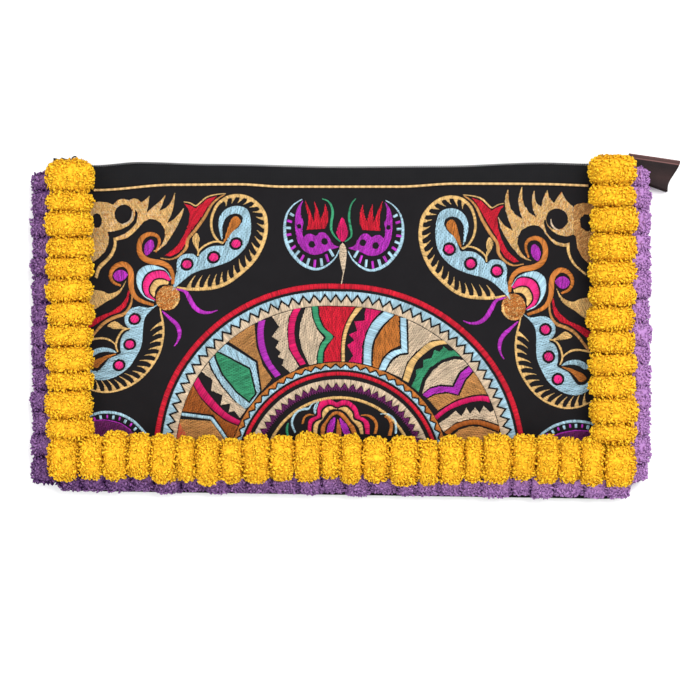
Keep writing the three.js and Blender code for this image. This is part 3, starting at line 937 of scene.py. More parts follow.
class Pompoms:
    """Rows of pressed yarn balls with cut strands all over."""

    core_share = 0.86
    floor_share = 0.43
    lowest = 0.9
    strand_reach = 1.4
    strand_kinds = 5
    strand_radius = 0.64
    strand_sides = 3
    strand_ahead = (0.0, 0.2, 0.85, 1.6)
    strand_up = (-0.9, 0.75, 1.4, 1.3)
    strand_taper = (0.8, 1.0, 1.0, 0.68)
    spacing_at_scale_one = 1.13
    crest = 2.0
    period = 8.5
    rings = 9
    sides = 18
    pole = 0.12
    covered_along = 0.93
    covered_under = 0.62

    def __init__(self, palette: Palette, seed: int) -> None:
        self.palette = palette
        self.rng = np.random.default_rng(seed)
        self.strands = self._strands()
        self.tree = self._scatter()

    def _strands(self) -> bpy.types.Collection:
        """Bits of yarn that rise from the origin and lie over to +X."""
        kept = bpy.data.collections.new("strands")
        t = np.linspace(0, 1, len(self.strand_ahead))
        for k in range(self.strand_kinds):
            ahead = np.array(self.strand_ahead) * self.rng.uniform(0.6, 1.2)
            cross = 0.35 * np.sin(t * 4 + self.rng.uniform(0, 6))
            up = np.array(self.strand_up) * self.rng.uniform(0.8, 1.2)
            path = np.column_stack([ahead, cross - cross[0], up])
            bit = tube(path, self.strand_radius * np.array(self.strand_taper), self.strand_sides)
            made = make_mesh(f"strand_{k}", *bit, None, {"tip": np.repeat(t, self.strand_sides)})
            bpy.context.scene.collection.objects.unlink(made)
            kept.objects.link(made)
        return kept

    def _scatter(self) -> bpy.types.NodeTree:
        """A tree that covers a core with strands."""
        tree, given, result = new_tree("yarn", {
            "Strands": "NodeSocketCollection",
            "Finish": "NodeSocketMaterial",
            "Spacing": "NodeSocketFloat",
            "Scale": "NodeSocketFloat",
        })
        cover = tree.node(
            "GeometryNodeInputNamedAttribute", {"data_type": "FLOAT"}, Name="cover"
        ).outputs["Attribute"]
        spray = tree.node(
            "GeometryNodeInputNamedAttribute", {"data_type": "FLOAT_VECTOR"}, Name="spray"
        ).outputs["Attribute"]
        points = tree.node(
            "GeometryNodeDistributePointsOnFaces",
            {"distribute_method": "POISSON"},
            Mesh=given.outputs["Geometry"],
            Distance_Min=given.outputs["Spacing"],
            Density_Max=900000.0,
            Density_Factor=cover,
            Seed=7,
        )
        aimed = tree.node("FunctionNodeAlignRotationToVector", {"axis": "Z"}, Vector=spray)
        drift = tree.node("ShaderNodeTexNoise", None,
            Vector=tree.node("GeometryNodeInputPosition").outputs[0], Scale=150.0)
        stream = tree.node(
            "ShaderNodeVectorMath", {"operation": "SUBTRACT"}, i0=drift.outputs["Color"], i1=(0.5, 0.5, 0.5)
        )
        combed = tree.node(
            "FunctionNodeAlignRotationToVector", {"axis": "X", "pivot_axis": "Z"},
            Rotation=aimed.outputs[0], Vector=stream.outputs[0],
        )
        tilt = tree.node("FunctionNodeRandomValue", {"data_type": "FLOAT_VECTOR"}, i0=(-0.35, -0.4, -1.0),
            i1=(0.35, 0.4, 1.0))
        turned = tree.node(
            "FunctionNodeRotateRotation", {"rotation_space": "LOCAL"},
            Rotation=combed.outputs[0], Rotate_By=tilt.outputs[0],
        )
        grown = tree.node("FunctionNodeRandomValue", {"data_type": "FLOAT"}, i2=0.82, i3=1.18)
        scale = tree.value(grown, 1) * tree.value(given, "Scale")
        chosen = tree.node(
            "GeometryNodeCollectionInfo",
            None,
            Collection=given.outputs["Strands"],
            Separate_Children=True,
            Reset_Children=True,
        )
        placed = tree.node(
            "GeometryNodeInstanceOnPoints",
            None,
            Points=points.outputs["Points"],
            Instance=chosen.outputs[0],
            Pick_Instance=True,
            Rotation=turned.outputs[0],
            Scale=scale,
        )
        shade = tree.node("FunctionNodeRandomValue", {"data_type": "FLOAT"})
        marked = tree.node(
            "GeometryNodeStoreNamedAttribute",
            {"data_type": "FLOAT", "domain": "INSTANCE"},
            Geometry=placed.outputs[0],
            Name="shade",
            Value=shade.outputs[1],
        )
        real = tree.node("GeometryNodeRealizeInstances", None, Geometry=marked.outputs[0])
        joined = tree.node("GeometryNodeJoinGeometry")
        ground = tree.node(
            "GeometryNodeStoreNamedAttribute",
            {"data_type": "FLOAT", "domain": "POINT"},
            Geometry=given.outputs["Geometry"],
            Name="ground",
            Value=1.0,
        )
        tree.tree.links.new(ground.outputs[0], joined.inputs[0])
        tree.tree.links.new(real.outputs[0], joined.inputs[0])
        coated = tree.node(
            "GeometryNodeSetMaterial", None, Geometry=joined.outputs[0], Material=given.outputs["Finish"]
        )
        tree.tree.links.new(coated.outputs[0], result.inputs[0])
        return tree.tree

    def _ball(self, spec: RowSpec, number: int, before: float, length: float) -> Ball:
        """Shapes the core of one pompom.

        Args:
            spec: Its row.
            number: Its place in the row, from 0.
            before: How far along the row it begins.
            length: Its length along the row.

        Returns:
            The core.
        """
        start, end = np.array(spec.start), np.array(spec.end)
        along = (end - start) / np.hypot(*(end - start))
        aside = np.array([-along[1], along[0]])
        first, last = number == 0, number == len(spec.lengths) - 1
        turn = 2 * np.pi * np.arange(self.sides) / self.sides
        t = -np.cos(np.linspace(self.pole, np.pi - self.pole, self.rings))
        profile = (1 - np.abs(t) ** spec.power) ** (1 / spec.power)
        size = 1 + 0.05 * math.sin(3.1 * number + spec.phase)
        wave = spec.swing * math.cos(math.tau * (number - self.crest) / self.period)
        stray = wave + 0.45 * math.sin(2.3 * number + spec.phase)
        stray += spec.ends[0] * first + spec.ends[1] * last
        centre = start + along * (before + length / 2) + aside * stray
        reach = self.core_share * size * profile[:, None]
        lateral = reach * spec.width / 2 * np.cos(turn)
        rise = reach * spec.height / 2 * np.sin(turn)
        short = np.where(t < 0, first, last) * self.strand_reach * spec.spacing
        axial = np.broadcast_to((t * (length / 2 - short))[:, None], lateral.shape)
        x, y = (centre[k] + along[k] * axial + aside[k] * lateral for k in range(2))
        z = np.maximum(spec.floor + spec.height * self.floor_share + rise, spec.floor + self.lowest)
        outward = [along[k] * axial * 0.5 + aside[k] * lateral for k in range(2)]
        shown = (np.abs(t) < self.covered_along) | (t < 0) & first | (t > 0) & last
        cover = shown[:, None] & (rise > -self.covered_under * spec.height / 2)
        return Ball(
            vertices=np.stack([x, y, z], -1).reshape(-1, 3),
            spray=np.stack([*outward, rise], -1).reshape(-1, 3),
            cover=cover.astype(float).ravel(),
            swell=np.repeat(1 - np.abs(t) ** 7, self.sides),
        )

    def row(self, spec: RowSpec) -> None:
        """Makes one row of pompoms."""
        whole = np.hypot(*(np.array(spec.end) - np.array(spec.start)))
        lengths = np.array(spec.lengths) / sum(spec.lengths) * whole
        done = np.concatenate([[0], np.cumsum(lengths)])
        balls = [self._ball(spec, k, done[k], length) for k, length in enumerate(lengths)]
        skin = closed_skin(self.rings, self.sides)
        vertices, faces = joined([(ball.vertices, skin) for ball in balls])
        stored = {key: np.concatenate([getattr(ball, key) for ball in balls]) for key in ("spray", "cover",
            "swell")}
        core = make_mesh(f"{spec.node}_yarn", vertices, faces, None, stored)
        finish = self.palette.yellow if spec.slot == "yellow_yarn" else self.palette.purple
        scale = spec.spacing / self.spacing_at_scale_one
        inputs = {"Strands": self.strands, "Finish": finish, "Spacing": spec.spacing * MM, "Scale": scale}
        run_tree(core, self.tree, inputs)
        log.info("%s: %d faces", spec.node, len(core.data.polygons))
        place(core, spec.node, spec.slot)


def left_of(ahead: Array) -> Array:
    """Turns each row a quarter counterclockwise."""
    return np.column_stack([-ahead[:, 1], ahead[:, 0]])


def directions(path: Array) -> tuple[Array, Array]:
    """Unit steps along a path and to its left, one row a point."""
    ahead = np.gradient(path, axis=0)
    ahead /= np.hypot(*ahead.T)[:, None]
    return ahead, left_of(ahead)


@dataclass(frozen=True)
class Ring:
    """A ring-shaped limit that stitches are kept in."""

    centre: Array
    outer: float
    inner: float

    def cut(self, spans: list[tuple[float, float]], centre: Array, row: float) -> list[tuple[float, float]]:
        """Cuts spans along one row to the ring.

        Args:
            spans: Starts and ends along the row.
            centre: The ring's centre in the row's turned axes.
            row: The row's place across.

        Returns:
            What is left of the spans.
        """
        off = abs(row - centre[1])
        if off >= self.outer:
            return []
        far = math.sqrt(self.outer**2 - off**2)
        near = math.sqrt(max(0.0, self.inner**2 - off**2))
        open_parts = ((-far, -near), (near, far)) if near else ((-far, far),)
        parts = []
        for a, b in spans:
            for low, high in ((centre[0] + p, centre[0] + q) for p, q in open_parts):
                if min(b, high) - max(a, low) > 0:
                    parts.append((max(a, low), min(b, high)))
        return parts

    def holds(self, points: Array) -> Array:
        """Tells which points lie in the ring."""
        away = np.hypot(*(points - self.centre).T)
        return (away < self.outer) & (away > self.inner)


class Mark(NamedTuple):
    """A spot on the right butterfly and the same spot on the left one, in chart steps."""

    chart: tuple[float, float]
    twin: tuple[float, float]


BUTTERFLY_MARKS = (
    Mark(chart=(449, 249), twin=(238, 246.5)),
    Mark(chart=(496, 271), twin=(190, 263.5)),
    Mark(chart=(535, 252.5), twin=(147.5, 245.5)),
    Mark(chart=(563, 281), twin=(120, 276.5)),
    Mark(chart=(545.5, 329), twin=(136, 317.5)),
    Mark(chart=(558.5, 379), twin=(118.5, 365)),
    Mark(chart=(514, 350), twin=(162.5, 338)),
    Mark(chart=(418, 234), twin=(267, 228)),
)


@dataclass(frozen=True)
class Placing:
    """Where a motif of the chart goes: a turn and a stretch, then a shift, all in chart steps."""

    across: tuple[float, float, float] = (1.0, 0.0, 0.0)
    down: tuple[float, float, float] = (0.0, 1.0, 0.0)

    @classmethod
    def matched(cls, marks: Sequence[Mark]) -> "Placing":
        """The placing that carries a motif's marks nearest to their twins.

        Args:
            marks: At least three marks that don't lie on one line.

        Returns:
            The placing.
        """
        given = np.array([(*mark.chart, 1.0) for mark in marks])
        wanted = np.array([mark.twin for mark in marks])
        across, down = np.linalg.lstsq(given, wanted, rcond=None)[0].T
        return cls(tuple(across), tuple(down))

    def points(self, *numbers: float) -> Array:
        """Takes x and y numbers of the chart in turn, and gives points in millimetres."""
        grid = np.array(numbers, float).reshape(-1, 2)
        x = grid @ np.array(self.across[:2]) + self.across[2]
        y = grid @ np.array(self.down[:2]) + self.down[2]
        return np.column_stack([(x - CHART_X) * CHART_STEP, (CHART_Y - y) * CHART_STEP])

    def line(self, *numbers: float) -> Array:
        """A smooth open line through the points."""
        return flow(self.points(*numbers))

    def patch(self, *numbers: float) -> Array:
        """A smooth closed outline through the points."""
        return flow(self.points(*numbers), closed=True)

    def disc(self, x: float, y: float, radius: float, tall: float | None = None) -> Array:
        """A round or oval outline."""
        turn = np.linspace(0, 2 * np.pi, 28, endpoint=False)
        ring = np.column_stack([x + radius * np.cos(turn), y + (tall or radius) * np.sin(turn)])
        return self.points(*ring.ravel())


@dataclass(frozen=True)
class Swell:
    """The bulge of the mandala's outer rings, most of it at the upper left."""

    centre: Array
    left: float = 5.0
    right: float = 1.8
    begins: float = 74.0
    full: float = 91.0

    def __call__(self, points: Array) -> Array:
        """Moves points away from the centre.

        Args:
            points: Places in millimetres.

        Returns:
            The moved places.
        """
        away = points - self.centre
        radius = np.hypot(*away.T)
        angle = np.degrees(np.arctan2(away[:, 1], away[:, 0]))
        share = np.sin(np.radians(np.clip(np.abs(angle - 90) * 2.25, 0, 180)))
        most = np.where(angle > 90, self.left, self.right) * CHART_STEP
        grown = most * share * ease((radius - self.begins) / (self.full - self.begins))
        return self.centre + away * (1 + grown / np.maximum(radius, 1.0))[:, None]


class Embroidery:
    """Collects single stitches and makes one mesh of each colour."""

    pitch = 0.42
    width = 0.56
    height = 0.34
    least = 0.25
    shortest = 0.7
    stagger = 0.382
    jitter = 0.05
    sunk = 0.06
    point = 0.3

    def __init__(self, shape: BagShape, palette: Palette, seed: int) -> None:
        self.shape = shape
        self.palette = palette
        self.rng = np.random.default_rng(seed)
        self.sewn: dict[Thread, list[Array]] = {thread: [] for thread in Thread}
        self.warp: Callable[[Array], Array] | None = None

    def sew(self, thread: Thread, starts: Array, ends: Array, lift: float = 0.0) -> None:
        """Adds stitches.

        Args:
            thread: Their colour.
            starts: One point a stitch.
            ends: The other ends.
            lift: How far they lie above the cloth.
        """
        keep = np.hypot(*(ends - starts).T) > self.least
        starts, ends = starts[keep], ends[keep]
        if self.warp:
            starts, ends = self.warp(starts), self.warp(ends)
        self.sewn[thread].append(np.hstack([starts, ends, np.full((len(starts), 1), lift)]))

    def fill(
        self,
        thread: Thread,
        outline: Array,
        angle: float,
        holes: Sequence[Array] = (),
        limit: Ring | None = None,
        length: float = 3.8,
        lift: float = 0.0,
        pitch: float = 0.0,
        keep: float = 1.0,
    ) -> None:
        """Fills an outline with rows of stitches that break like bricks.

        Args:
            thread: The colour.
            outline: The closed outline.
            angle: Direction of the rows in degrees, counterclockwise from +X.
            holes: Outlines that are left bare.
            limit: A ring that the fill is kept in.
            length: The longest stitch.
            lift: How far the stitches lie above the cloth.
            pitch: Distance of the rows, or 0 for the usual one.
            keep: The share of the stitches that is sewn, picked at random.
        """
        pitch = pitch or self.pitch
        turn = math.radians(angle)
        axes = np.array([[math.cos(turn), -math.sin(turn)], [math.sin(turn), math.cos(turn)]])
        loops = [loop @ axes for loop in (outline, *holes)]
        centre = limit.centre @ axes if limit else None
        starts, ends = [], []
        rows = np.arange(loops[0][:, 1].min() + pitch / 2, loops[0][:, 1].max(), pitch)
        for k, row in enumerate(rows):
            hits = np.sort(np.concatenate([crossings(loop, row) for loop in loops]))
            spans = list(zip(hits[::2], hits[1::2]))
            if limit:
                spans = limit.cut(spans, centre, row)
            for a, b in spans:
                offset = (k * self.stagger % 1) * length
                breaks = np.arange(a - a % length + offset - length, b, length)
                inside = (breaks > a + self.shortest) & (breaks < b - self.shortest)
                marks = np.concatenate([[a], breaks[inside], [b]])
                starts.extend([x, row] for x in marks[:-1])
                ends.extend([x, row] for x in marks[1:])
        if starts:
            kept = self.rng.random(len(starts)) < keep
            self.sew(thread, np.array(starts)[kept] @ axes.T, np.array(ends)[kept] @ axes.T, lift)

    def flecks(
        self, thread: Thread, outline: Array, angle: float, holes: Sequence[Array] = (), keep: float = 0.3
    ) -> None:
        """Strews short stitches over a fill.

        Args:
            thread: The colour.
            outline: The fill's outline.
            angle: Direction of the stitches in degrees.
            holes: Outlines that are left bare.
            keep: How close they lie, up to 1.
        """
        self.fill(thread, outline, angle, holes, length=1.5, lift=0.12, pitch=0.8, keep=keep)

    def satin(
        self,
        thread: Thread,
        left: Array,
        right: Array,
        lift: float = 0.0,
        limit: Ring | None = None,
        slant: float = 0.0,
    ) -> None:
        """Runs stitches to and fro between two lines.

        Args:
            thread: The colour.
            left: One line.
            right: The other, in the same direction.
            lift: How far the stitches lie above the cloth.
            limit: A ring that they are kept in.
            slant: How far the right ends are ahead, in millimetres.
        """
        count = max(2, int(max(line_length(left), line_length(right)) / self.pitch))
        starts, ends = resample(left, count), resample(right, count)
        shift = int(round(slant / self.pitch))
        if shift and count > 3 * shift:
            starts, ends = starts[: count - shift], ends[shift:]
        if limit:
            kept = limit.holds((starts + ends) / 2)
            starts, ends = starts[kept], ends[kept]
        self.sew(thread, starts, ends, lift)

    def column(
        self,
        thread: Thread,
        path: Array,
        width: float,
        taper: tuple[float, float] = (1.0, 1.0),
        lift: float = 0.0,
        limit: Ring | None = None,
    ) -> None:
        """Sews a band of one thickness along a path.

        Args:
            thread: The colour.
            path: The middle line.
            width: The band's full width in chart steps.
            taper: Width at the start and at the end, as shares.
            lift: How far it lies above the cloth.
            limit: A ring that it is kept in.
        """
        even = resample(path, max(4, int(line_length(path) / 0.8)))
        _, aside = directions(even)
        t = np.linspace(0, 1, len(even))
        ends = np.interp(t, [0, 0.35, 0.65, 1], [taper[0], 1, 1, taper[1]])
        half = (width * CHART_STEP / 2 * ends)[:, None]
        self.satin(thread, even + aside * half, even - aside * half, lift, limit, slant=0.5)

    def ring(self, thread: Thread, centre: Array, outer: Callable, inner: Callable) -> None:
        """Sews radial stitches round the upper half of a circle.

        Args:
            thread: The colour.
            centre: The circle's centre.
            outer: Outer radius in chart steps over the angle in degrees.
            inner: Inner radius, in the same way.
        """
        mean = (outer(90.0) + inner(90.0)) / 2 * CHART_STEP
        degrees = np.arange(4, 176, math.degrees(self.pitch / mean))
        spoke = np.column_stack([np.cos(np.radians(degrees)), np.sin(np.radians(degrees))])
        far = np.array([outer(angle) for angle in degrees])[:, None] * CHART_STEP
        near = np.array([inner(angle) for angle in degrees])[:, None] * CHART_STEP
        self.sew(thread, centre + spoke * far, centre + spoke * near)

    def barbs(
        self, thread: Thread, path: Array, count: int, reach: float, sweep: float, shrink: float
    ) -> None:
        """Sews pointed barbs that stand off a path to its left and bend ahead.

        Args:
            thread: The colour.
            path: The line that they grow from.
            count: How many there are.
            reach: Their length in chart steps, or below 0 to stand to the right.
            sweep: How far their tips lean along the path, as a share of the length.
            shrink: The share of the length that the last one lacks.
        """
        even = resample(path, count + 2)
        gap = line_length(path) / (count + 1)
        ahead, aside = directions(even)
        t = np.linspace(0, 1, 7)[:, None]
        for k in range(1, count + 1):
            root, on, off = even[k], ahead[k], aside[k] * np.sign(reach)
            length = abs(reach) * CHART_STEP * (1 - shrink * k / count) * self.rng.uniform(0.88, 1.12)
            tip = root + off * length + on * length * sweep
            sides = []
            for foot, waist in ((-0.3, -0.1), (0.36, 0.16)):
                base = root + on * gap * foot
                knee = root + on * gap * waist + off * length * 0.42
                sides.append(base * (1 - t) ** 2 + 2 * knee * t * (1 - t) + tip * t**2)
            self.satin(thread, *sides, lift=0.04)

    def build(self) -> None:
        """Makes the meshes, one a colour."""
        for thread, parts in self.sewn.items():
            rows = np.vstack(parts)
            self._mesh(thread, rows)
            log.info("%s: %d stitches", thread.name, len(rows))

    def _mesh(self, thread: Thread, rows: Array) -> None:
        """Makes the piece of one colour: each stitch is a thin bar that is pointed at both ends."""
        start, end, lift = rows[:, :2], rows[:, 2:4], rows[:, 4]
        start = start + self.rng.normal(0, self.jitter, start.shape)
        end = end + self.rng.normal(0, self.jitter, end.shape)
        span = end - start
        length = np.hypot(*span.T)[:, None]
        ahead = span / length
        aside = left_of(ahead) * self.width / 2
        round_off = np.minimum(self.point, length * 0.25)
        near, far = start + ahead * round_off, end - ahead * round_off
        rise = self.height * self.rng.uniform(0.85, 1.15, len(rows))

        def at(flat: Array, above: Array | float) -> Array:
            """Points of the stitches at a height above the cloth."""
            height = self.shape.front(flat[:, 0], flat[:, 1]) + lift + above
            return np.column_stack([flat, height])

        low = -self.sunk
        bar = [
            at(start, 0.0), at(near + aside, low), at(near - aside, low), at(near, rise),
            at(far + aside, low), at(far - aside, low), at(far, rise), at(end, 0.0),
        ]
        vertices = np.stack(bar, 1).reshape(-1, 3)
        first = np.arange(len(rows)) * len(bar)
        last = first + len(bar) - 1
        faces = []
        for p, q in ((1, 2), (2, 3), (3, 1)):
            faces += np.column_stack([first + p, first + q, first]).tolist()
            faces += np.column_stack([first + q + 3, first + p + 3, last]).tolist()
            faces += np.column_stack([first + p, first + p + 3, first + q + 3, first + q]).tolist()
        tone = np.clip(self.rng.normal(0.5, 0.22, len(rows)), 0, 1)
        name = f"{thread.name.lower()}_stitches"
        shade = {"shade": np.repeat(tone, len(bar))}
        place(make_mesh(name, vertices, faces, self.palette.threads[thread], shade), None, "cloth")


def crossings(loop: Array, row: float) -> Array:
    """Where a closed outline crosses a row."""
    after = np.roll(loop, -1, axis=0)
    cut = (loop[:, 1] <= row) != (after[:, 1] <= row)
    a, b = loop[cut], after[cut]
    return a[:, 0] + (row - a[:, 1]) * (b[:, 0] - a[:, 0]) / (b[:, 1] - a[:, 1])


def zigzag(middle: float, swing: float, period: float) -> Callable[[float], float]:
    """A radius that goes to and fro as the angle grows.

    Args:
        middle: The mean radius.
        swing: How far it goes to each side.
        period: Degrees of one to and fro.

    Returns:
        The radius over the angle in degrees.
    """
    return lambda angle: middle + swing * (4 * abs((angle / period) % 1 - 0.5) - 1)


def level(radius: float) -> Callable[[float], float]:
    """A radius that stays the same."""
    return lambda angle: radius


MANDALA_CENTRE = (339, 472.7)
ZONE_OUTER = 166.2  # the patches lie between these two radii
ZONE_INNER = 111.4


class Artwork:
    """The traditional pattern of butterflies round half a mandala."""

    def __init__(self, needle: Embroidery) -> None:
        self.needle = needle

    def sew(self) -> None:
        """Sews the whole pattern."""
        plain = Placing()
        self._mandala(plain)
        self._mandala_heart(plain)
        self._centre_butterfly(plain)
        for placing in (plain, Placing.matched(BUTTERFLY_MARKS)):
            self._upper_wing(placing)
            self._lower_wing(placing)
            self._spirals_and_body(placing)
        self._right_crown(plain)
        self._left_crown(plain)
        self._fans(plain)

    def _mandala(self, chart: Placing) -> None:
        """The rings and the patches between them."""
        sew = self.needle
        centre = chart.points(*MANDALA_CENTRE)[0]
        sew.warp = Swell(centre)
        wave = zigzag(middle=174, swing=3.6, period=3.5)
        teeth = zigzag(middle=107, swing=2.0, period=5.4)
        points = zigzag(middle=87, swing=3.0, period=5.4)
        ragged = zigzag(middle=83.5, swing=1.6, period=2.3)
        for thread, outer, inner in (
            (Thread.RED, level(189), level(183.4)),
            (Thread.SKY, level(181.2), lambda a: wave(a) + 1.2),
            (Thread.ECRU, lambda a: wave(a) - 1.2, level(166.4)),
            (Thread.AMBER, level(111), lambda a: teeth(a) + 0.5),
            (Thread.SKY, lambda a: teeth(a) - 0.7, level(103.2)),
            (Thread.RED, level(101.5), level(97.4)),
            (Thread.ECRU, level(94), lambda a: points(a) + 0.5),
            (Thread.PLUM, lambda a: points(a) - 0.5, lambda a: ragged(a) + 2.2),
            (Thread.PLUM, lambda a: ragged(a) + 2.0, lambda a: ragged(a * 1.37) - 0.6),
            (Thread.GOLD, level(77), level(73.6)),
        ):
            sew.ring(thread, centre, outer, inner)
        zone = Ring(centre, outer=ZONE_OUTER * CHART_STEP, inner=ZONE_INNER * CHART_STEP)

        def patch(thread: Thread, angle: float, *numbers: float) -> None:
            """Fills the outline through the numbers, inside the zone."""
            sew.fill(thread, chart.points(*numbers), angle=angle, limit=zone)

        def band(thread: Thread, left: tuple, right: tuple) -> None:
            """Runs stitches between two smooth lines, inside the zone."""
            sew.satin(thread, chart.line(*left), chart.line(*right), limit=zone)

        # From the zone's left end over its top to its right end.
        patch(Thread.OCHRE, 20, 165, 419, 211, 421, 224, 440, 230, 452, 160, 452)
        patch(Thread.RED, 60, 174, 421, 181, 424, 187, 436, 190, 446, 172, 446)
        sew.column(Thread.SKY, chart.points(168, 414.5, 184, 415, 211, 418, 219, 429, 228, 443), width=3.6,
            limit=zone)
        patch(Thread.BROWN, 62, 190, 378, 196.4, 386, 203, 399, 213, 411.5, 225, 420.8, 240, 427, 240, 440,
            227, 437, 213, 415, 178, 411.5, 174, 400)
        band(Thread.MAGENTA, (197, 368, 201, 376.4, 208, 390, 218, 404, 228.5, 414, 243, 422),
            (191, 376, 196.4, 384.2, 203, 398, 213.6, 410.4, 225, 419.6, 240, 426.5))
        patch(Thread.ECRU, 150, 200, 362, 204.4, 373, 215.3, 381, 213, 391.4, 222.8, 394.8, 220.5, 405.1,
            230.3, 403.4, 228.5, 412, 234.3, 411, 240, 418, 246, 410, 243.6, 407.6, 233.4, 400, 223, 387.4,
            214.8, 372.2, 209.5, 355)
        frame = chart.points(210, 352, 214, 351, 216, 340, 256, 362, 260.5, 391, 250, 406, 245, 409,
            234.6, 400, 224.4, 387, 216.3, 372)
        green = chart.points(219, 354.5, 250, 369, 255.5, 393, 249, 401, 237, 391, 225.6, 376, 220.2, 361.5)
        hole = chart.points(217.6, 352.6, 251.2, 367.8, 257.2, 393.4, 249.4, 403, 236, 392.2, 224.2, 376.8,
            218.6, 361.8)
        sew.fill(Thread.SKY, frame, angle=110, holes=(hole,), limit=zone)
        sew.fill(Thread.GREEN, green, angle=20, limit=zone)
        patch(Thread.OCHRE, 35, 218, 337, 230, 335, 257, 318, 257.8, 335, 258.4, 349, 263.4, 365,
            272.4, 378, 262, 391, 258, 361)
        band(Thread.PURPLE, (262, 316, 259.6, 335, 260, 349, 264.8, 362.4, 275, 377),
            (270, 314, 266, 334, 267, 349, 271.8, 361.6, 281, 374))
        patch(Thread.ECRU, 75, 272, 312, 273.6, 320, 280.4, 329.4, 273, 338.5, 279.8, 342, 276, 347.7,
            281, 352.3, 278.2, 357, 284.4, 359.4, 282.2, 365, 292, 374, 299, 366, 289, 349, 287.6, 334,
            290, 320, 296, 308)
        band(Thread.MAGENTA, (297, 308, 290.8, 320, 288.6, 334, 290, 349, 300, 365),
            (303.6, 307, 297.2, 321.5, 295.2, 335, 298, 349, 306, 363))
        patch(Thread.ECRU, 82, 308.6, 303, 301.6, 323.6, 299.4, 335, 302, 349, 309.4, 365, 316.4, 364,
            317, 353.5, 319.8, 344.3, 324, 337.4, 317.4, 329.6, 312.8, 319, 310.6, 303)
        band(Thread.GREEN,
            (311.6, 303, 313.8, 319, 318.6, 329.2, 325.6, 337.2, 320.8, 344.4, 318, 353.5, 317.4, 364),
            (318, 303, 319.4, 318, 324, 328, 333.2, 336.3, 327.4, 344.3, 323.8, 351.2, 322.8, 364))
        patch(Thread.RED, 100, 318.6, 303, 320.2, 317.6, 324.8, 327.6, 334.4, 336.3, 328.4, 344.6,
            324.8, 351.6, 323.8, 364, 340.4, 364, 340.6, 346, 342.2, 333, 346.4, 321, 354.6, 308, 357, 303)
        band(Thread.GOLD, (358, 304, 355.5, 308.3, 347.3, 321.3, 343.2, 333, 341.4, 346, 341.4, 364),
            (366, 304, 362.4, 308.3, 353, 320, 347.6, 332, 345.2, 346, 345.2, 364))
        patch(Thread.MAGENTA, 80, 366, 303, 364.2, 320.7, 354.2, 321.5, 357.1, 330.7, 348.8, 334.3,
            354.2, 340.2, 347.1, 344.9, 353, 355.5, 347, 364, 361.6, 364, 362.2, 346, 365.2, 333,
            372.2, 321, 387, 306)
        band(Thread.SKY, (390, 307, 373.8, 321.3, 366.8, 333.1, 363.8, 346.1, 363.2, 364),
            (400, 311, 382.5, 326, 374.2, 339, 371.6, 350.8, 371.4, 366))
        patch(Thread.AMBER, 100, 398.6, 312, 398.4, 328, 399.8, 345.6, 390, 350, 382, 358, 377.6, 370,
            372.6, 366, 373, 351, 375.4, 339.4, 383.4, 327)
        band(Thread.SKY, (399.6, 310, 399.6, 328, 401, 347.4), (405.4, 310, 406.1, 333, 407.2, 352))
        band(Thread.SKY, (404, 347.6, 391.4, 351.4, 383, 359.6, 378, 371),
            (407.4, 352.6, 399, 354, 391, 359.6, 384.8, 371))
        patch(Thread.ECRU, 50, 406.8, 312, 422, 318, 452, 340, 430, 341.6, 416, 351.4, 406.6, 362,
            401.4, 378, 386, 371, 392, 361, 400, 355.4, 408.4, 354)
        band(Thread.GOLD, (458, 341, 430, 342.8, 417, 352.4, 407.6, 363, 402.4, 379),
            (462, 345, 438, 346.2, 425, 353.4, 415.8, 362.8, 408.6, 382))
        patch(Thread.GREEN, 40, 462, 350, 447.6, 352, 442.6, 347.8, 438, 352.2, 433.4, 350.6, 430.8, 358,
            422.8, 360, 422.6, 367.3, 415.6, 369.6, 415.5, 377, 411, 386, 418.4, 392, 422.2, 378.2,
            429.4, 367.6, 440, 360.6, 452, 357, 468, 358)
        patch(Thread.ECRU, 30, 470, 361.6, 453, 360, 441.4, 363.4, 432.4, 370.2, 425.4, 380.2, 421.6, 394,
            429.6, 386.8, 440.2, 384.2, 451.6, 385.2, 457.2, 373, 472, 361)
        patch(Thread.PURPLE, 15, 476, 359, 470.4, 364.4, 459, 373.8, 452.8, 387, 440.4, 386, 430, 388.2,
            422, 394.6, 426.6, 397.4, 434.6, 393, 446.4, 391.6, 457.6, 394.4, 463.4, 380, 476, 366)
        patch(Thread.OCHRE, 150, 477, 366.6, 464.6, 380.8, 458.6, 395.8, 446.4, 393, 434.8, 394.4,
            427.4, 398.4, 438, 410.4, 444, 406.6, 456, 399.6, 470, 395.6, 482, 394.4, 500, 396)
        band(Thread.MAGENTA,
            (506, 398.4, 491, 397.2, 481.6, 395.8, 469.8, 396.9, 455.8, 401, 444, 408, 434, 416),
            (506, 406.4, 494.6, 404.8, 481.6, 401.4, 469.8, 402.6, 455.8, 407.2, 446.4, 412, 437, 420))
        patch(Thread.ECRU, 10, 438, 424, 448.5, 417, 455.6, 410.4, 461.5, 415.9, 466.2, 407.4, 470, 413.5,
            474.5, 407.4, 479.2, 412.9, 482.8, 406, 489.8, 412.3, 498, 407.5, 508, 412, 508, 428,
            482, 419.4, 469.8, 418.8, 456, 422.8, 444, 432)
        band(Thread.BROWN, (510, 430, 499.3, 426.3, 481.6, 420.4, 469.8, 419.8, 455.6, 423.9, 445, 432),
            (508, 435, 498, 431.6, 481.2, 425.6, 470, 425, 458, 428.6, 450, 435))
        patch(Thread.OCHRE, 170, 508, 437, 498, 433, 481, 427, 470, 426.4, 459, 430, 452, 436, 452, 450,
            508, 450)
        sew.warp = None

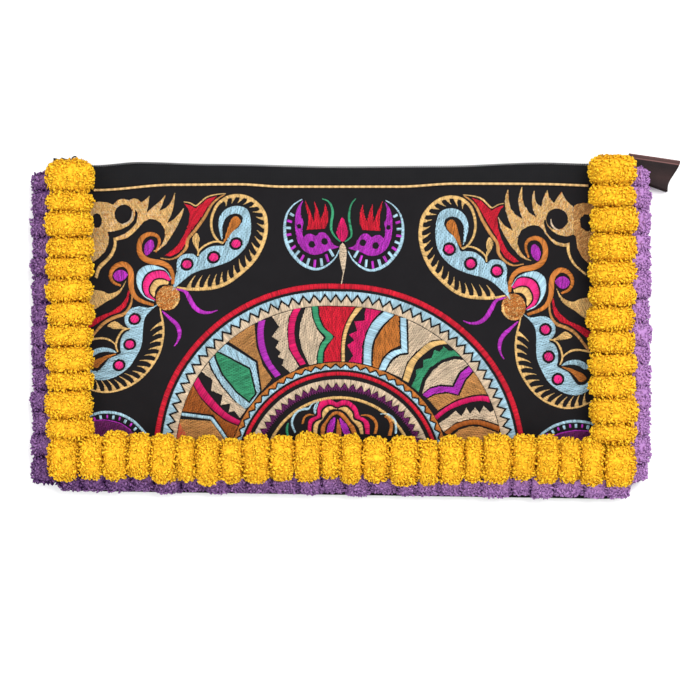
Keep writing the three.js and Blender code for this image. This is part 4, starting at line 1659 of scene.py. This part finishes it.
    def _mandala_heart(self, chart: Placing) -> None:
        """The flower inside the rings."""
        sew = self.needle
        sew.satin(Thread.MAGENTA, chart.line(307.5, 433, 307.5, 427, 308.5, 420.5, 312.8, 417, 317, 415,
            317.5, 408, 320, 401.5, 324.5, 398.8, 329, 398.6, 333, 400.2, 336.5, 402, 341, 400.2,
            347, 399.8, 352, 402.5, 357, 407.5, 358.6, 412, 360.3, 416, 365, 418.3, 369.5, 423.5, 370, 434),
            chart.line(311.2, 434, 311.5, 427.5, 313, 422.4, 318, 419, 321, 417, 320.6, 412, 323, 407.8,
            327, 405, 331, 404.6, 334.6, 406, 337.5, 407.4, 341, 405.8, 346.6, 405.2, 350.6, 408,
            354, 412.2, 355, 418, 360, 420, 363.8, 423.8, 365.2, 434))
        sew.satin(Thread.GOLD, chart.line(312.8, 434, 313, 427.5, 314.6, 423, 318.5, 420.4, 322.4, 418.6,
            322, 412.6, 324.2, 408.9, 327.4, 406.4, 331, 406, 334, 407.4, 337.5, 408.8, 341, 407.2,
            346, 406.6, 349.6, 409.2, 352.6, 413, 353.6, 419, 359, 421.4, 362.4, 424.6, 363.8, 434),
            chart.line(317, 434, 317.6, 430, 318.6, 425, 321, 421.6, 323.6, 418.2, 326, 414.6, 328, 412.2,
            329.6, 410.6, 331.6, 409.6, 334, 409, 337, 408.9, 340, 409.2, 343, 410.8, 346, 413, 348.5, 416,
            351, 419.6, 355, 423.8, 358.2, 428, 360, 434))
        sew.satin(Thread.AMBER, chart.line(320, 434, 321, 426.5, 325, 421, 329.5, 415, 333, 411.8,
            337, 410.8, 341.5, 412, 346, 416, 350.5, 422, 354.5, 426.5, 357.4, 434), chart.line(324.6, 434,
            326, 426, 329.3, 420, 332.6, 416.4, 335, 414.9, 337, 414.6, 340, 416, 344, 420.4, 347.6, 425.4,
            350, 429, 352, 434))
        sew.fill(Thread.PURPLE,
            chart.patch(326.6, 436, 328, 425, 332, 419, 335, 417, 335.2, 422, 333.4, 430, 331, 438),
            angle=60)
        sew.fill(Thread.PURPLE,
            chart.patch(339.6, 417.4, 343, 420.8, 347.6, 426.6, 350.4, 436, 346, 438, 342, 430, 340, 423),
            angle=120)
        sew.fill(Thread.AMBER,
            chart.patch(337.8, 418.8, 340, 424, 341.6, 431, 341, 438, 336, 438, 336, 431, 336.6, 424),
            angle=0)
        sew.column(Thread.SKY, chart.line(295, 433, 291.8, 424, 293.4, 416.5, 298.4, 410.6, 304.5, 408.8,
            308.6, 408.6, 311.4, 404.4, 317.4, 400.4), width=2.7, taper=(1.0, 0.4))
        sew.fill(Thread.SKY, chart.patch(313.6, 412.6, 314.2, 405.4, 319, 400.8, 316.8, 407.4, 315.4, 414),
            angle=70)
        sew.column(Thread.AMBER, chart.line(302.4, 424, 304.4, 417.4, 309, 414.6, 314, 415), width=2.6,
            taper=(1.0, 0.4))
        sew.column(Thread.AMBER,
            chart.line(361, 415.4, 366, 415, 371.6, 417.2, 375.6, 421.6, 376.6, 427, 375, 434), width=3.4,
            taper=(0.4, 1.0))
        sew.column(Thread.AMBER, chart.line(384.6, 416.4, 388.4, 418.4, 390.8, 422, 391.4, 428, 389.6, 436),
            width=3.8, taper=(0.4, 1.0))
        sew.column(Thread.SKY, chart.line(380.5, 414, 386, 413.6, 391.6, 416.6, 395.8, 423, 396, 434),
            width=2.7, taper=(0.5, 1.0))
        sew.column(Thread.GREEN, chart.line(287.4, 436, 286.6, 429, 288, 423), width=3.0, taper=(0.9, 0.5))

    def _centre_butterfly(self, plain: Placing) -> None:
        """The butterfly over the mandala, with the left half's chart mirrored for the right one."""
        sew = self.needle
        mirrored = Placing(across=(-1.0, 0.0, 687.6), down=(0.0, 1.0, 1.2))
        for chart in (plain, mirrored):
            arc = chart.line(302, 199.1, 294, 204.3, 287.6, 213, 285, 223.5, 285.3, 236, 288.2, 246.6,
                294.6, 256.6, 303.8, 265, 316, 269.4, 326.4, 266, 335, 258.4, 339.4, 250)
            sew.column(Thread.SKY, arc, width=3.8, taper=(0.3, 0.35))
            rim = chart.line(302, 205, 294, 210.5, 289.6, 219, 287.6, 228, 288.4, 238, 292, 247.6,
                299, 256.6, 309, 263.4, 319, 264.6, 328.4, 258.6, 334, 251)
            self._ticks(rim, chart.points(318, 230)[0], count=30, start=-1.25, reach=(2.2, 2.2),
                wide=(0.5, 0.5), growth=(0.85, 1.45), skipped=4)
            wing = chart.patch(303, 200.5, 297.7, 207.2, 295.4, 216.8, 295.4, 228.3, 297.3, 239.7,
                302.5, 249.3, 311.1, 254.6, 319.7, 254.6, 327.4, 251.2, 338.9, 247.4, 333.1, 244.5,
                329.3, 237.8, 324.5, 232.6, 319.7, 232.6, 316, 236, 312, 234, 307.3, 234, 303.5, 236.9,
                302.5, 228.3, 303.5, 222.5, 301.1, 215.8, 301.1, 207.2)
            dots = [chart.disc(299.2, 226.4, radius=2.2), chart.disc(312.1, 244.6, radius=3.2),
                chart.disc(324.7, 241.7, radius=3.2)]
            sew.fill(Thread.PURPLE, wing, angle=70 if chart is mirrored else 110, holes=dots)
            sew.fill(Thread.RED, chart.points(306.8, 230.2, 308.3, 223.5, 308.3, 215.8, 305.9, 206.3,
                304.9, 199.1, 309.5, 209, 314, 221.6, 314.8, 210, 314.5, 201, 318.5, 211, 320.7, 220.6,
                324, 211, 325, 202.9, 328, 212, 328, 222, 325, 229.2), angle=90)
        left = plain.line(322.1, 198.6, 327.4, 200.5, 331.2, 205.3, 332.7, 213, 331.4, 222.5, 331.4, 230.2,
            335.1, 236.9, 340.3, 241.7)
        right = plain.line(355.6, 198.5, 351, 205, 349, 217.5, 351.6, 234, 349, 239, 345, 241.8)
        for feeler in (left, right):
            sew.column(Thread.GREEN, feeler, width=2.8, taper=(0.5, 0.6))
        sew.fill(Thread.MAGENTA, plain.patch(342.2, 217.3, 345.5, 223, 348, 233, 345.5, 240, 342.7, 242.1,
            339.5, 240, 336.7, 233, 339.2, 223), angle=90)
        sew.fill(Thread.ECRU,
            plain.patch(342.7, 243.1, 346.5, 249, 346.5, 260, 343.7, 274.2, 340, 261, 339, 249), angle=0)
        sew.column(Thread.ECRU, plain.line(343.6, 272, 342.6, 278, 341.3, 284.5), width=1.1)

    def _ticks(
        self,
        rim: Array,
        middle: Array,
        count: int,
        start: float,
        reach: tuple[float, float],
        wide: tuple[float, float],
        growth: tuple[float, float] = (1.0, 1.0),
        skipped: int = 0,
    ) -> None:
        """Sews short bars inside a rim, a light one and a purple one in turn.

        Args:
            rim: The line that they stand on.
            middle: The point that they aim at.
            count: Twice their number.
            start: How far from the rim they begin, in millimetres.
            reach: Lengths of the light bars and of the purple ones.
            wide: Half the width of a light bar and of a purple one.
            growth: Share of their length that they have at the rim's start and at its end.
            skipped: Places left empty at the rim's start.
        """
        even = resample(rim, count)[skipped:]
        share = np.linspace(*growth, len(even))[:, None]
        toward = middle - even
        toward /= np.hypot(*toward.T)[:, None]
        across = left_of(toward)
        bars = ((Thread.SKY, 0, reach[0], wide[0]), (Thread.PURPLE, 2, reach[1], wide[1]))
        for thread, first, length, half in bars:
            for off in np.arange(-half, half + 0.01, 0.33):
                line = (even + across * off)[first::4]
                inward = (toward * share)[first::4]
                self.needle.sew(thread, line + inward * start, line + inward * length)

    def _spotted(
        self, chart: Placing, wing: Array, angle: float, dots: Sequence[tuple], opening: float, spot: float
    ) -> None:
        """Sews a blue wing with a pink spot in each of its round openings."""
        openings = [chart.disc(x, y, radius=opening) for x, y in dots]
        self.needle.fill(Thread.SKY, wing, angle=angle, holes=openings, length=5.0)
        for x, y in dots:
            self.needle.fill(Thread.PINK, chart.disc(x, y, radius=spot), angle=60, length=9)

    def _upper_wing(self, chart: Placing) -> None:
        """The upper wing of a side butterfly, with its barbed ring and flame."""
        sew = self.needle
        dots = [(448.9, 249.3), (470.1, 263.8), (496.2, 271.1)]
        wing = chart.patch(509.4, 300, 504.7, 294.7, 497.6, 287.6, 490.5, 281.7, 481.1, 277.6, 468.1, 274.1,
            455.1, 268.8, 445.7, 261.7, 438.6, 252.2, 435.6, 241.6, 435.1, 232.2, 436.2, 222.8,
            438.6, 214.5, 443.3, 209.8, 451.6, 208, 459.8, 210.4, 465.7, 216.9, 468.1, 226.3, 465.7, 238.1,
            462.8, 245.2, 463.4, 232.2, 462.8, 225.1, 458.7, 219.2, 451.6, 216.9, 445.7, 219.2,
            443.9, 223.9, 448, 231.6, 453.9, 236.9, 458.1, 246.3, 460.4, 251.1, 464.6, 251.1, 474, 252.2,
            482.2, 258.1, 485.8, 263.5, 490.5, 259.9, 497.6, 259.7, 503.6, 262.6, 506.2, 269, 505.9, 280,
            507.8, 291)
        self._spotted(chart, wing, 75, dots, opening=6.7, spot=4.6)
        sew.fill(Thread.AMBER,
            chart.patch(446.2, 224, 450.4, 219.4, 455, 222, 458.5, 234, 461, 248.7, 453, 236.5, 447.4, 230),
            angle=80)
        outer = chart.line(505, 296.5, 491.7, 299.8, 474, 299.4, 462.2, 297.1, 451.6, 291.8, 439.8, 281.7,
            429.2, 269.9, 422.1, 255.8, 418.5, 241.6, 418.3, 229.8, 420.9, 216.9, 428, 206.2, 438.6, 198,
            449.2, 195, 459.8, 196.2, 466.9, 200.3, 472.8, 207.4, 476.3, 219.2, 476.3, 229.8, 472.8, 240.4,
            465.7, 248.7, 461, 249.9)
        self._barbed_ring(outer, count=21, first=0.02, last=0.8, reach=13.5, shrink=0.45, band=4.4)
        sew.column(Thread.GOLD, chart.line(462.2, 247.6, 470.5, 247, 478.7, 250.4, 485, 256.4, 486, 262),
            width=2.4, taper=(0.6, 0.8), lift=0.1)
        sew.fill(Thread.GOLD,
            chart.patch(484.8, 262, 486.2, 251, 485.6, 243.5, 489, 237, 492.6, 243, 491, 249.5, 487.6, 255),
            angle=90)
        flame = chart.points(471.6, 197.4, 481.1, 200.3, 488.1, 207.4, 491.7, 210.4, 497.6, 206.8,
            504.1, 205.1, 499.4, 211, 497, 216.9, 497.6, 227.5, 501.1, 239.3, 507, 251.1, 518.8, 261.7,
            512.9, 262.9, 504.7, 258.1, 498.8, 248.7, 496.4, 238.1, 488.1, 225.1, 481.1, 212.1,
            476.3, 203.9)
        sew.fill(Thread.RED, flame, angle=60)
        sew.column(Thread.OCHRE, chart.line(464, 195.6, 470.5, 200.3, 476.3, 207.2, 482.2, 220.4,
            490.5, 234.6, 497, 244, 498, 253.4, 504.7, 261.7, 512.9, 265.6, 523, 264.2), width=3.6,
            taper=(0.5, 0.4))
        sew.column(Thread.GOLD, chart.line(463, 194.6, 472, 195.6, 481.4, 198.4, 488.4, 205.2, 491.9, 208,
            497.4, 204.8, 504, 203.2), width=1.9, taper=(0.5, 0.5))

    def _barbed_ring(
        self, outer: Array, count: int, first: float, last: float, reach: float, shrink: float, band: float
    ) -> None:
        """A gold band with barbs on its inner side.

        Args:
            outer: The band's outer edge.
            count: Number of barbs.
            first: Where they begin, as a share of the band.
            last: Where they end.
            reach: Their length in chart steps.
            shrink: The share of the length that the last one lacks.
            band: The band's full width in chart steps.
        """
        sew, steps = self.needle, 140
        even = resample(outer, steps)
        _, aside = directions(even)
        side = np.sign(((even.mean(axis=0) - even) * aside).sum())
        t = np.linspace(0, 1, len(even))
        wide = np.interp(t, [0, 0.06, 0.6, 0.8, 1], [0.4, 0.85, 0.9, 0.8, 0.55])[:,
            None] * band * CHART_STEP
        inner = even + aside * side * wide
        sew.satin(Thread.GOLD, even, inner, slant=0.8)
        part = (even + aside * side * wide * 0.8)[int(first * steps): int(last * steps)]
        sew.barbs(Thread.GOLD, part, count, reach * side, sweep=0.5, shrink=shrink)

    def _spirals_and_body(self, chart: Placing) -> None:
        """The two spirals, the striped body, the head and the feelers of a side butterfly."""
        sew = self.needle
        sew.column(Thread.AMBER, chart.line(528.3, 257.6, 525.5, 249, 526, 243, 530, 239, 536.5, 238,
            542.5, 241, 545.5, 248, 545, 256.4, 541, 263.2, 533, 267.4, 521.2, 269.4, 513.4, 274.4,
            509.6, 282.9, 508.6, 292.4), width=5.6, taper=(0.4, 0.7))
        sew.fill(Thread.PURPLE, chart.patch(534.4, 243.8, 538.6, 247, 540.6, 253, 538.4, 261, 534, 259,
            530.6, 252.6, 531.4, 246), angle=90)
        sew.column(Thread.AMBER, chart.line(562, 293, 569.4, 289.6, 573.2, 283.6, 572.2, 275.8,
            566.2, 270.4, 559.4, 270, 554, 274.8, 551.8, 282, 551.6, 291.6, 549, 301.4, 541.5, 309,
            527, 314.5), width=5.4, taper=(0.5, 0.6))
        sew.fill(Thread.PURPLE,
            chart.patch(555.6, 281, 560, 276.4, 566, 276, 570.4, 280.4, 569, 286, 564, 288.6, 558.6, 286.4),
            angle=90)
        blue = chart.line(510, 286.5, 517, 277, 528.3, 271.7, 537.7, 271.7, 544.8, 277, 546.5, 285.3,
            544.8, 293.5, 538.9, 303, 528.3, 309.5)
        pink = chart.line(511, 286.9, 517.6, 278.6, 527.1, 277.8, 535.3, 281.9, 539.1, 290, 538.5, 298.3,
            533.6, 306.2, 525, 309.6)
        gold = chart.line(512.9, 289.4, 520, 286.9, 527.1, 288, 531.4, 294.7, 531.4, 300.6, 527.4, 306.2)
        core = chart.line(514, 292.8, 521.2, 293.4, 525.5, 298.3, 526.1, 303)
        sew.satin(Thread.SKY, blue, chart.line(511.4, 286.4, 517.2, 277.9, 527.5, 276.8, 536.2, 281,
            540.2, 289.6, 539.6, 298.6, 534.4, 307, 526, 310.4))
        sew.satin(Thread.PINK, pink,
            chart.line(513.4, 288.6, 520, 285.9, 527.8, 287, 532.5, 294.4, 532.4, 300.9, 528.2, 306.8))
        sew.satin(Thread.GOLD, gold, core)
        head = chart.disc(512.9, 307, radius=12.4, tall=13.4)
        sew.fill(Thread.AMBER, head, angle=20)
        tones = ((Thread.GOLD, 50, 0.3), (Thread.OCHRE, -25, 0.45), (Thread.GOLD, -60, 0.2))
        for thread, angle, keep in tones:
            sew.flecks(thread, head, angle, keep=keep)
        sew.column(Thread.GOLD, chart.line(502, 305, 503.4, 313, 508, 318.6), width=2.6, taper=(0.5, 0.5),
            lift=0.25)
        sew.column(Thread.PURPLE, chart.line(506, 297.4, 495.7, 300.6, 490.4, 309.5, 485.1, 317.8,
            478, 322.5, 469.8, 323.1, 462.7, 320.7), width=4.8, taper=(0.4, 0.25))
        sew.column(Thread.PURPLE,
            chart.line(517.6, 321.3, 509.9, 328.4, 501.6, 336.6, 498.7, 346.1, 500.5, 354.3, 503.4, 359),
            width=4.6, taper=(0.4, 0.25))

    def _lower_wing(self, chart: Placing) -> None:
        """The lower wing of a side butterfly, with its barbed ring, flame and tail."""
        sew = self.needle
        dots = [(545.5, 329.3), (548.9, 356.6), (558.5, 379.1)]
        wing = chart.patch(521.9, 313.5, 530.5, 317.4, 541, 315.9, 549.7, 317.8, 555.4, 324.5, 555.9, 332.2,
            552.5, 337.9, 549.7, 340.8, 555.4, 344.6, 558.7, 352.3, 558.7, 360.9, 557.8, 365.7,
            562.1, 368.5, 569.7, 372.4, 574.5, 379.1, 579.3, 384.8, 585.1, 384.8, 591, 381.5, 598, 386,
            591, 389.6, 585.1, 393.4, 575.5, 395.3, 565.9, 393.4, 556.4, 388.6, 547.7, 381, 542, 371.4,
            537.2, 360.9, 535.8, 351.3, 535.8, 337, 534.3, 327.4, 529.6, 320.7)
        self._spotted(chart, wing, 10, dots, opening=6.5, spot=4.5)
        sew.fill(Thread.SKY, chart.patch(562.1, 365.7, 567.8, 360.9, 577.4, 359.4, 585.1, 361.8, 590, 367.6,
            586, 369.5, 579.3, 365.7, 571.7, 364.7), angle=100)
        sew.fill(Thread.AMBER, chart.patch(562.1, 366.8, 569.7, 367.8, 577.4, 370.4, 585.1, 374.3, 588, 379,
            581.2, 382, 576.4, 377.1, 571.7, 372.4), angle=20)
        sew.column(Thread.GOLD, chart.line(549.7, 339.2, 556.8, 341.6, 561.6, 349.4, 563, 358,
            560.6, 364.7), width=2.6, taper=(0.5, 0.7), lift=0.1)
        sew.fill(Thread.GOLD, chart.patch(552, 339.6, 557.6, 336.6, 563, 332.4, 567.6, 331.6, 573.4, 336.4,
            567, 339.2, 559.6, 339.8), angle=160)
        sew.column(Thread.GOLD, chart.line(562.6, 359, 565.5, 354.8, 573, 350.4, 582.2, 349.9, 592, 352),
            width=2.6, taper=(0.5, 1.0))
        outer = chart.line(519.6, 317.2, 514.8, 334.4, 513.8, 349.7, 516.7, 367, 524.4, 382.3, 535.8, 395.7,
            549.2, 404.3, 564.5, 409, 579.8, 408.1, 594, 402)
        self._barbed_ring(outer, count=15, first=0.05, last=1.0, reach=13.0, shrink=0.0, band=2.9)
        sew.fill(Thread.RED, chart.points(554, 296.8, 555.4, 305.4, 560.2, 313, 569.7, 320.7, 579.3, 324.5,
            587, 328.4, 596, 334, 596, 340, 587, 337, 581.2, 332.2, 571.7, 325.5, 561.1, 321.7,
            555.4, 315.9, 553, 308.3, 552.5, 300.6), angle=100)
        sew.column(Thread.OCHRE, chart.line(549.6, 302.5, 550.4, 313, 556, 323, 567.4, 327.6, 576.8, 333.4,
            585, 343.5, 590, 350), width=3.6, taper=(0.6, 0.9))
        leaf = chart.patch(557, 287.4, 563, 297, 573.6, 301.2, 581.2, 298.2, 593, 298, 595, 310, 590, 319,
            583.1, 315.9, 575.5, 310.2, 565.9, 304.4, 560.2, 297)
        sew.fill(Thread.GOLD, leaf, angle=110)
        sew.flecks(Thread.OCHRE, leaf, 40)

    def _crown(
        self, crown: Array, holes: Sequence[Array], curl: Array, band: tuple[Array, Array], angle: float
    ) -> None:
        """Sews one gold crown with its curl and the band that runs down from it.

        Args:
            crown: The crown's outline.
            holes: Round openings.
            curl: The line that curls into the large opening.
            band: The two edges of the band.
            angle: Direction of the fill in degrees.
        """
        sew = self.needle
        sew.fill(Thread.GOLD, crown, angle=angle, holes=holes, length=3.4)
        tones = ((Thread.OCHRE, -30, 0.45), (Thread.BROWN, -10, 0.12), (Thread.ECRU, 50, 0.3))
        for thread, turn, keep in tones:
            sew.flecks(thread, crown, angle + turn, holes, keep)
        sew.column(Thread.ECRU, curl, width=2.4, taper=(0.3, 1.0))
        sew.satin(Thread.GOLD, *band)

    def _right_crown(self, chart: Placing) -> None:
        """The spiked gold crown of the right butterfly."""
        crown = chart.points(532.2, 261, 526.5, 260.4, 519.8, 257.2, 511.1, 247.4, 504.4, 236.9,
            499.7, 226.9, 497.6, 216.4, 503.5, 225, 512.1, 230.7, 508.3, 220.2, 505.4, 210.6, 504.6, 202,
            505.8, 195, 508.3, 188.8, 508.6, 199, 510.2, 207.8, 515, 214.4, 522.2, 218.8, 519.3, 209.7,
            518.2, 201, 519.6, 193, 522.4, 186.4, 522.4, 198.2, 524.5, 205.8, 529.3, 212.5, 536, 216.8,
            533.2, 209.7, 532.1, 202, 532.6, 196, 534.8, 189.4, 535.3, 198.2, 537, 203, 541.8, 206.3,
            543, 200, 545, 195, 547.9, 188.8, 549.6, 197, 554.7, 202.3, 558, 197, 562.6, 191, 566.9, 198.9,
            574.6, 206.5, 574.6, 234, 566.7, 236, 559, 234.5, 552.3, 230.7, 547.8, 225.5, 545.6, 219,
            543.7, 222.1, 546.6, 231.7, 551.3, 237.4, 558, 241.5, 565.7, 243, 570.2, 242, 568.6, 246.2,
            563.8, 246.4, 556.1, 244.5, 551.3, 240.7, 546.6, 235, 542.7, 229, 538.9, 226.1, 534.1, 225,
            527.4, 226.4, 520.7, 230.7, 517.4, 237.4, 516.9, 243.6, 519.8, 251.2, 524.5, 257)
        holes = [chart.disc(557.6, 218.6, radius=11.3, tall=10.6)]
        curl = chart.line(551.4, 218.6, 552, 223.6, 555.2, 228, 560, 230)
        band = (chart.line(567.1, 246, 568.6, 254.6, 573.3, 263.3, 579.1, 269, 586, 274.6),
            chart.line(570.4, 242, 571.4, 252.7, 576.2, 262.3, 582, 268, 588.4, 273.4))
        self._crown(crown, holes, curl, band, 70)
        brow = chart.points(574.6, 206.4, 577.2, 203.2, 584.8, 201.8, 598, 203, 600, 214, 585, 213.6,
            581, 218, 582, 226, 587, 230, 600, 230, 600, 268, 588.7, 262.3, 582.9, 256.6, 578.1, 247,
            576.7, 236, 574.6, 234)
        self.needle.fill(Thread.OCHRE, brow, angle=60)
        self.needle.flecks(Thread.GOLD, brow, 30, keep=0.35)

    def _left_crown(self, chart: Placing) -> None:
        """The scalloped gold crown of the left butterfly."""
        crown = chart.points(152.7, 251.6, 158.9, 250.8, 166.5, 244.7, 172.6, 235.3, 178, 226, 181, 219.1,
            183.3, 213, 184.2, 207, 179.5, 213.5, 174.2, 219, 167.3, 223.7, 171.1, 216, 173.4, 208.4,
            174.5, 201.5, 175, 191.6, 171.1, 201.8, 166.5, 207.4, 159.6, 210.7, 162.7, 204.3, 165.8, 194,
            160.4, 200.3, 155, 204.9, 146.6, 212.2, 148.3, 205, 149.2, 195.4, 143.6, 200.3, 140.5, 201.7,
            137.4, 198.6, 132.8, 197.6, 127.5, 199.8, 122.9, 197.8, 116.8, 199, 112.2, 203.6, 105.3, 201.2,
            97, 200.6, 88, 202, 84, 262, 93, 261, 97.7, 257.3, 103.8, 251.2, 107.2, 243.6, 108, 236,
            106.1, 231.5, 113, 230.6, 120.6, 229, 128.3, 225.2, 133.2, 219.8, 134.8, 213.5, 133.4, 208,
            137.4, 212, 137, 218, 135.9, 222.3, 131.3, 227.7, 124.4, 233, 116.8, 235.9, 112.2, 237.2,
            115.4, 240.4, 126.7, 237.8, 132.8, 233.2, 139, 227, 143.6, 221.7, 149.7, 218.9, 155.8, 219.7,
            161.2, 223.1, 165, 229, 165.7, 234.6, 164.6, 240, 161.9, 245.3, 157.3, 249.1)
        holes = [chart.disc(123.3, 213.8, radius=9.7), chart.disc(95.7, 219.8, radius=5.0, tall=7.2)]
        curl = chart.line(132, 210.6, 131.6, 216.8, 128, 221.8, 122.4, 224)
        band = (chart.line(112.2, 237.6, 112.4, 244, 109.4, 252, 103.5, 259, 96.5, 265.6, 93, 276),
            chart.line(115.9, 239.8, 115.4, 247, 111.8, 255.6, 105.6, 262.6, 99.5, 269, 96.4, 278))
        self._crown(crown, holes, curl, band, 110)

    def _fans(self, chart: Placing) -> None:
        """The tops of the two fans that the lower corners show."""
        sew = self.needle
        for rim, patch, edge, centre in (
            ((85, 417, 89.3, 415.6, 102, 412.4, 118, 414, 132.3, 421.2, 145, 434),
             (86, 424.4, 94, 421.6, 104, 420.8, 118, 424, 129, 430, 136, 440, 86, 444),
             (92, 421, 104, 420.2, 119, 423.6, 130, 430.6), (108, 456)),
            ((541, 436, 545.4, 432, 556.9, 425.3, 572.2, 421.5, 587.5, 422.4, 600, 426),
             (549, 444, 556, 436, 566, 432.4, 578, 431.2, 590, 431.6, 600, 434, 600, 446),
             (551, 438, 562, 433.4, 576, 430.8, 592, 431.4), (578, 470)),
        ):
            sew.column(Thread.SKY, chart.line(*rim), width=3.4, taper=(0.9, 0.9))
            self._ticks(chart.line(*rim), chart.points(*centre)[0], count=20, start=1.3, reach=(3.8, 3.6),
                wide=(0.62, 0.34))
            sew.fill(Thread.PLUM, chart.patch(*patch), angle=60)
            sew.column(Thread.PURPLE, chart.line(*edge), width=1.3, lift=0.1)


class Lamp(NamedTuple):
    """A square light that faces the bag's middle, in metres and watts."""

    name: str
    location: tuple[float, float, float]
    power: float
    size: float


LAMPS = (
    Lamp("key", location=(0.6, 0.6, 1.5), power=26, size=1.0),
    Lamp("fill", location=(-0.7, -0.4, 1.3), power=11, size=1.2),
)
FLOOR_SIZE = 4  # metres
AMBIENT = 0.85
LENS = 112
SENSOR = 36
EYE = (4.95 * MM, -12.65 * MM, 1.21)  # metres


def studio(palette: Palette) -> None:
    """Adds the floor, the lights and the camera."""
    collection = bpy.context.scene.collection
    bpy.ops.mesh.primitive_plane_add(size=FLOOR_SIZE)
    floor = bpy.context.object
    floor.name = "floor"
    floor.data.materials.append(palette.floor)
    for spec in LAMPS:
        light = bpy.data.lights.new(spec.name, "AREA")
        light.energy = spec.power
        light.size = spec.size
        lamp = bpy.data.objects.new(spec.name, light)
        lamp.location = spec.location
        lamp.rotation_mode = "QUATERNION"
        lamp.rotation_quaternion = (-lamp.location).to_track_quat("-Z", "Y")
        collection.objects.link(lamp)
    world = bpy.data.worlds.new("studio")
    world.use_nodes = True
    background = world.node_tree.nodes["Background"]
    background.inputs["Color"].default_value = (1, 1, 1, 1)
    background.inputs["Strength"].default_value = AMBIENT
    bpy.context.scene.world = world
    bpy.context.scene.view_settings.view_transform = "Standard"
    camera = bpy.data.cameras.new("camera")
    camera.lens = LENS
    camera.sensor_width = SENSOR
    eye = bpy.data.objects.new("camera", camera)
    eye.location = EYE
    collection.objects.link(eye)
    bpy.context.scene.camera = eye


# Lengths of the pompoms along each row, from the top or from the left, as shares of their mean.
YELLOW_LEFT = (1.45, 0.8, 1.1, 0.85, 0.9, 0.97, 1.0, 0.9, 1.1, 0.75, 1.2, 1.0)
YELLOW_BOTTOM = (
    1.3, 1.0, 1.0, 0.95, 1.05, 0.8, 1.0, 0.95, 1.1, 1.0, 1.1, 0.8,
    0.9, 1.1, 1.2, 0.85, 1.05, 0.75, 1.2, 1.0, 0.95, 0.88, 0.95, 1.35,
)
YELLOW_RIGHT = (1.3, 0.88, 1.1, 1.15, 0.95, 0.92, 1.0, 0.95, 0.85, 0.95, 1.1, 0.85)
PURPLE_LEFT = (0.8, 1.15, 0.8, 0.95, 0.7, 1.2, 0.9, 1.0, 0.8, 1.05, 0.85, 1.0, 0.95, 1.2)
PURPLE_BOTTOM = (
    1.0, 0.95, 1.1, 0.95, 1.1, 1.0, 0.95, 0.75, 1.0, 1.15, 0.9, 1.0,
    0.95, 1.2, 0.7, 1.0, 0.9, 0.8, 1.25, 0.8, 0.9, 1.3, 0.9, 1.05,
)
PURPLE_RIGHT = (0.85, 0.95, 1.05, 0.7, 0.8, 1.2, 1.0, 0.95, 0.75, 0.95, 0.95, 1.1, 1.2, 0.8)


@dataclass(frozen=True)
class BorderShape:
    """Sizes of the two borders of pompoms, and where they lie off the bag's edges."""

    cloth_gap: float = 0.5
    yellow_width: float = 27.5
    yellow_height: float = 24.0
    yellow_inset: float = 10.4
    yellow_above: float = 19.0
    yellow_fall: float = 1.8
    yellow_overlap: float = 0.32
    purple_width: float = 21.5
    purple_height: float = 19.0
    purple_floor: float = 0.4
    purple_out: float = 1.2
    purple_above: float = 10.8


def pompom_rows(shape: BagShape) -> list[RowSpec]:
    """Places the six rows of pompoms round the bag."""
    size = BorderShape()
    side = shape.half - size.yellow_inset
    reach = side + size.yellow_width / 2 - 1
    overlap = size.yellow_width * size.yellow_overlap
    edge = shape.half + size.purple_out
    inner = edge - size.purple_width / 2

    def yellow_y(x: float) -> float:
        """The y of the yellow bottom row at x."""
        return shape.bottom + size.yellow_above - size.yellow_fall * (x / shape.half + 1) / 2

    def purple_y(x: float, above: float = size.purple_above) -> float:
        """The y at a height above the bottom seam."""
        return float(shape.base(x)) + above

    yellow = {"width": size.yellow_width, "height": size.yellow_height,
        "floor": shape.border_top + size.cloth_gap, "slot": "yellow_yarn", "spacing": 1.12, "power": 3.3,}
    purple = {
        "width": size.purple_width, "height": size.purple_height, "floor": size.purple_floor,
        "slot": "purple_yarn", "spacing": 1.05, "power": 6.0,
    }
    bottom_left, bottom_right = -inner - 6.5, inner + 10.6
    return [
        RowSpec("yellow_pompoms_left", start=(-side, shape.top + 1.6),
                end=(-side, yellow_y(-side) + overlap), lengths=YELLOW_LEFT, phase=0.4, **yellow),
        RowSpec("yellow_pompoms_bottom", start=(1 - reach, yellow_y(-reach)), end=(reach, yellow_y(reach)),
                lengths=YELLOW_BOTTOM, phase=1.9, swing=1.2, **yellow),
        RowSpec("yellow_pompoms_right", start=(side, shape.top + 4.2),
                end=(side, yellow_y(side) + overlap), lengths=YELLOW_RIGHT, phase=3.1, swing=0.6, **yellow),
        RowSpec("purple_pompoms_left", start=(-edge, shape.top - 5), end=(-edge, purple_y(-edge, 4)),
                lengths=PURPLE_LEFT, phase=0.9, **purple),
        RowSpec("purple_pompoms_bottom", start=(bottom_left, purple_y(-inner)),
                end=(bottom_right, purple_y(inner)), lengths=PURPLE_BOTTOM, phase=2.2, **purple),
        RowSpec("purple_pompoms_right", start=(edge, shape.top - 1.8), end=(edge, purple_y(edge, 9)),
                lengths=PURPLE_RIGHT, phase=4.0, ends=(0.0, -2.0), **purple),
    ]


def main() -> None:
    """Builds the whole scene."""
    logging.basicConfig(level=logging.INFO)
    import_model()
    shape = BagShape()
    palette = Palette(TabShape(start=shape.half + shape.gap, top=shape.top + TAB_RISE))
    Body(shape, palette).build()
    needle = Embroidery(shape, palette, seed=11)
    Artwork(needle).sew()
    needle.build()
    pompoms = Pompoms(palette, seed=5)
    for spec in pompom_rows(shape):
        pompoms.row(spec)
    for strand in list(pompoms.strands.objects):
        bpy.data.objects.remove(strand)
    studio(palette)


if __name__ == "__main__":
    main()
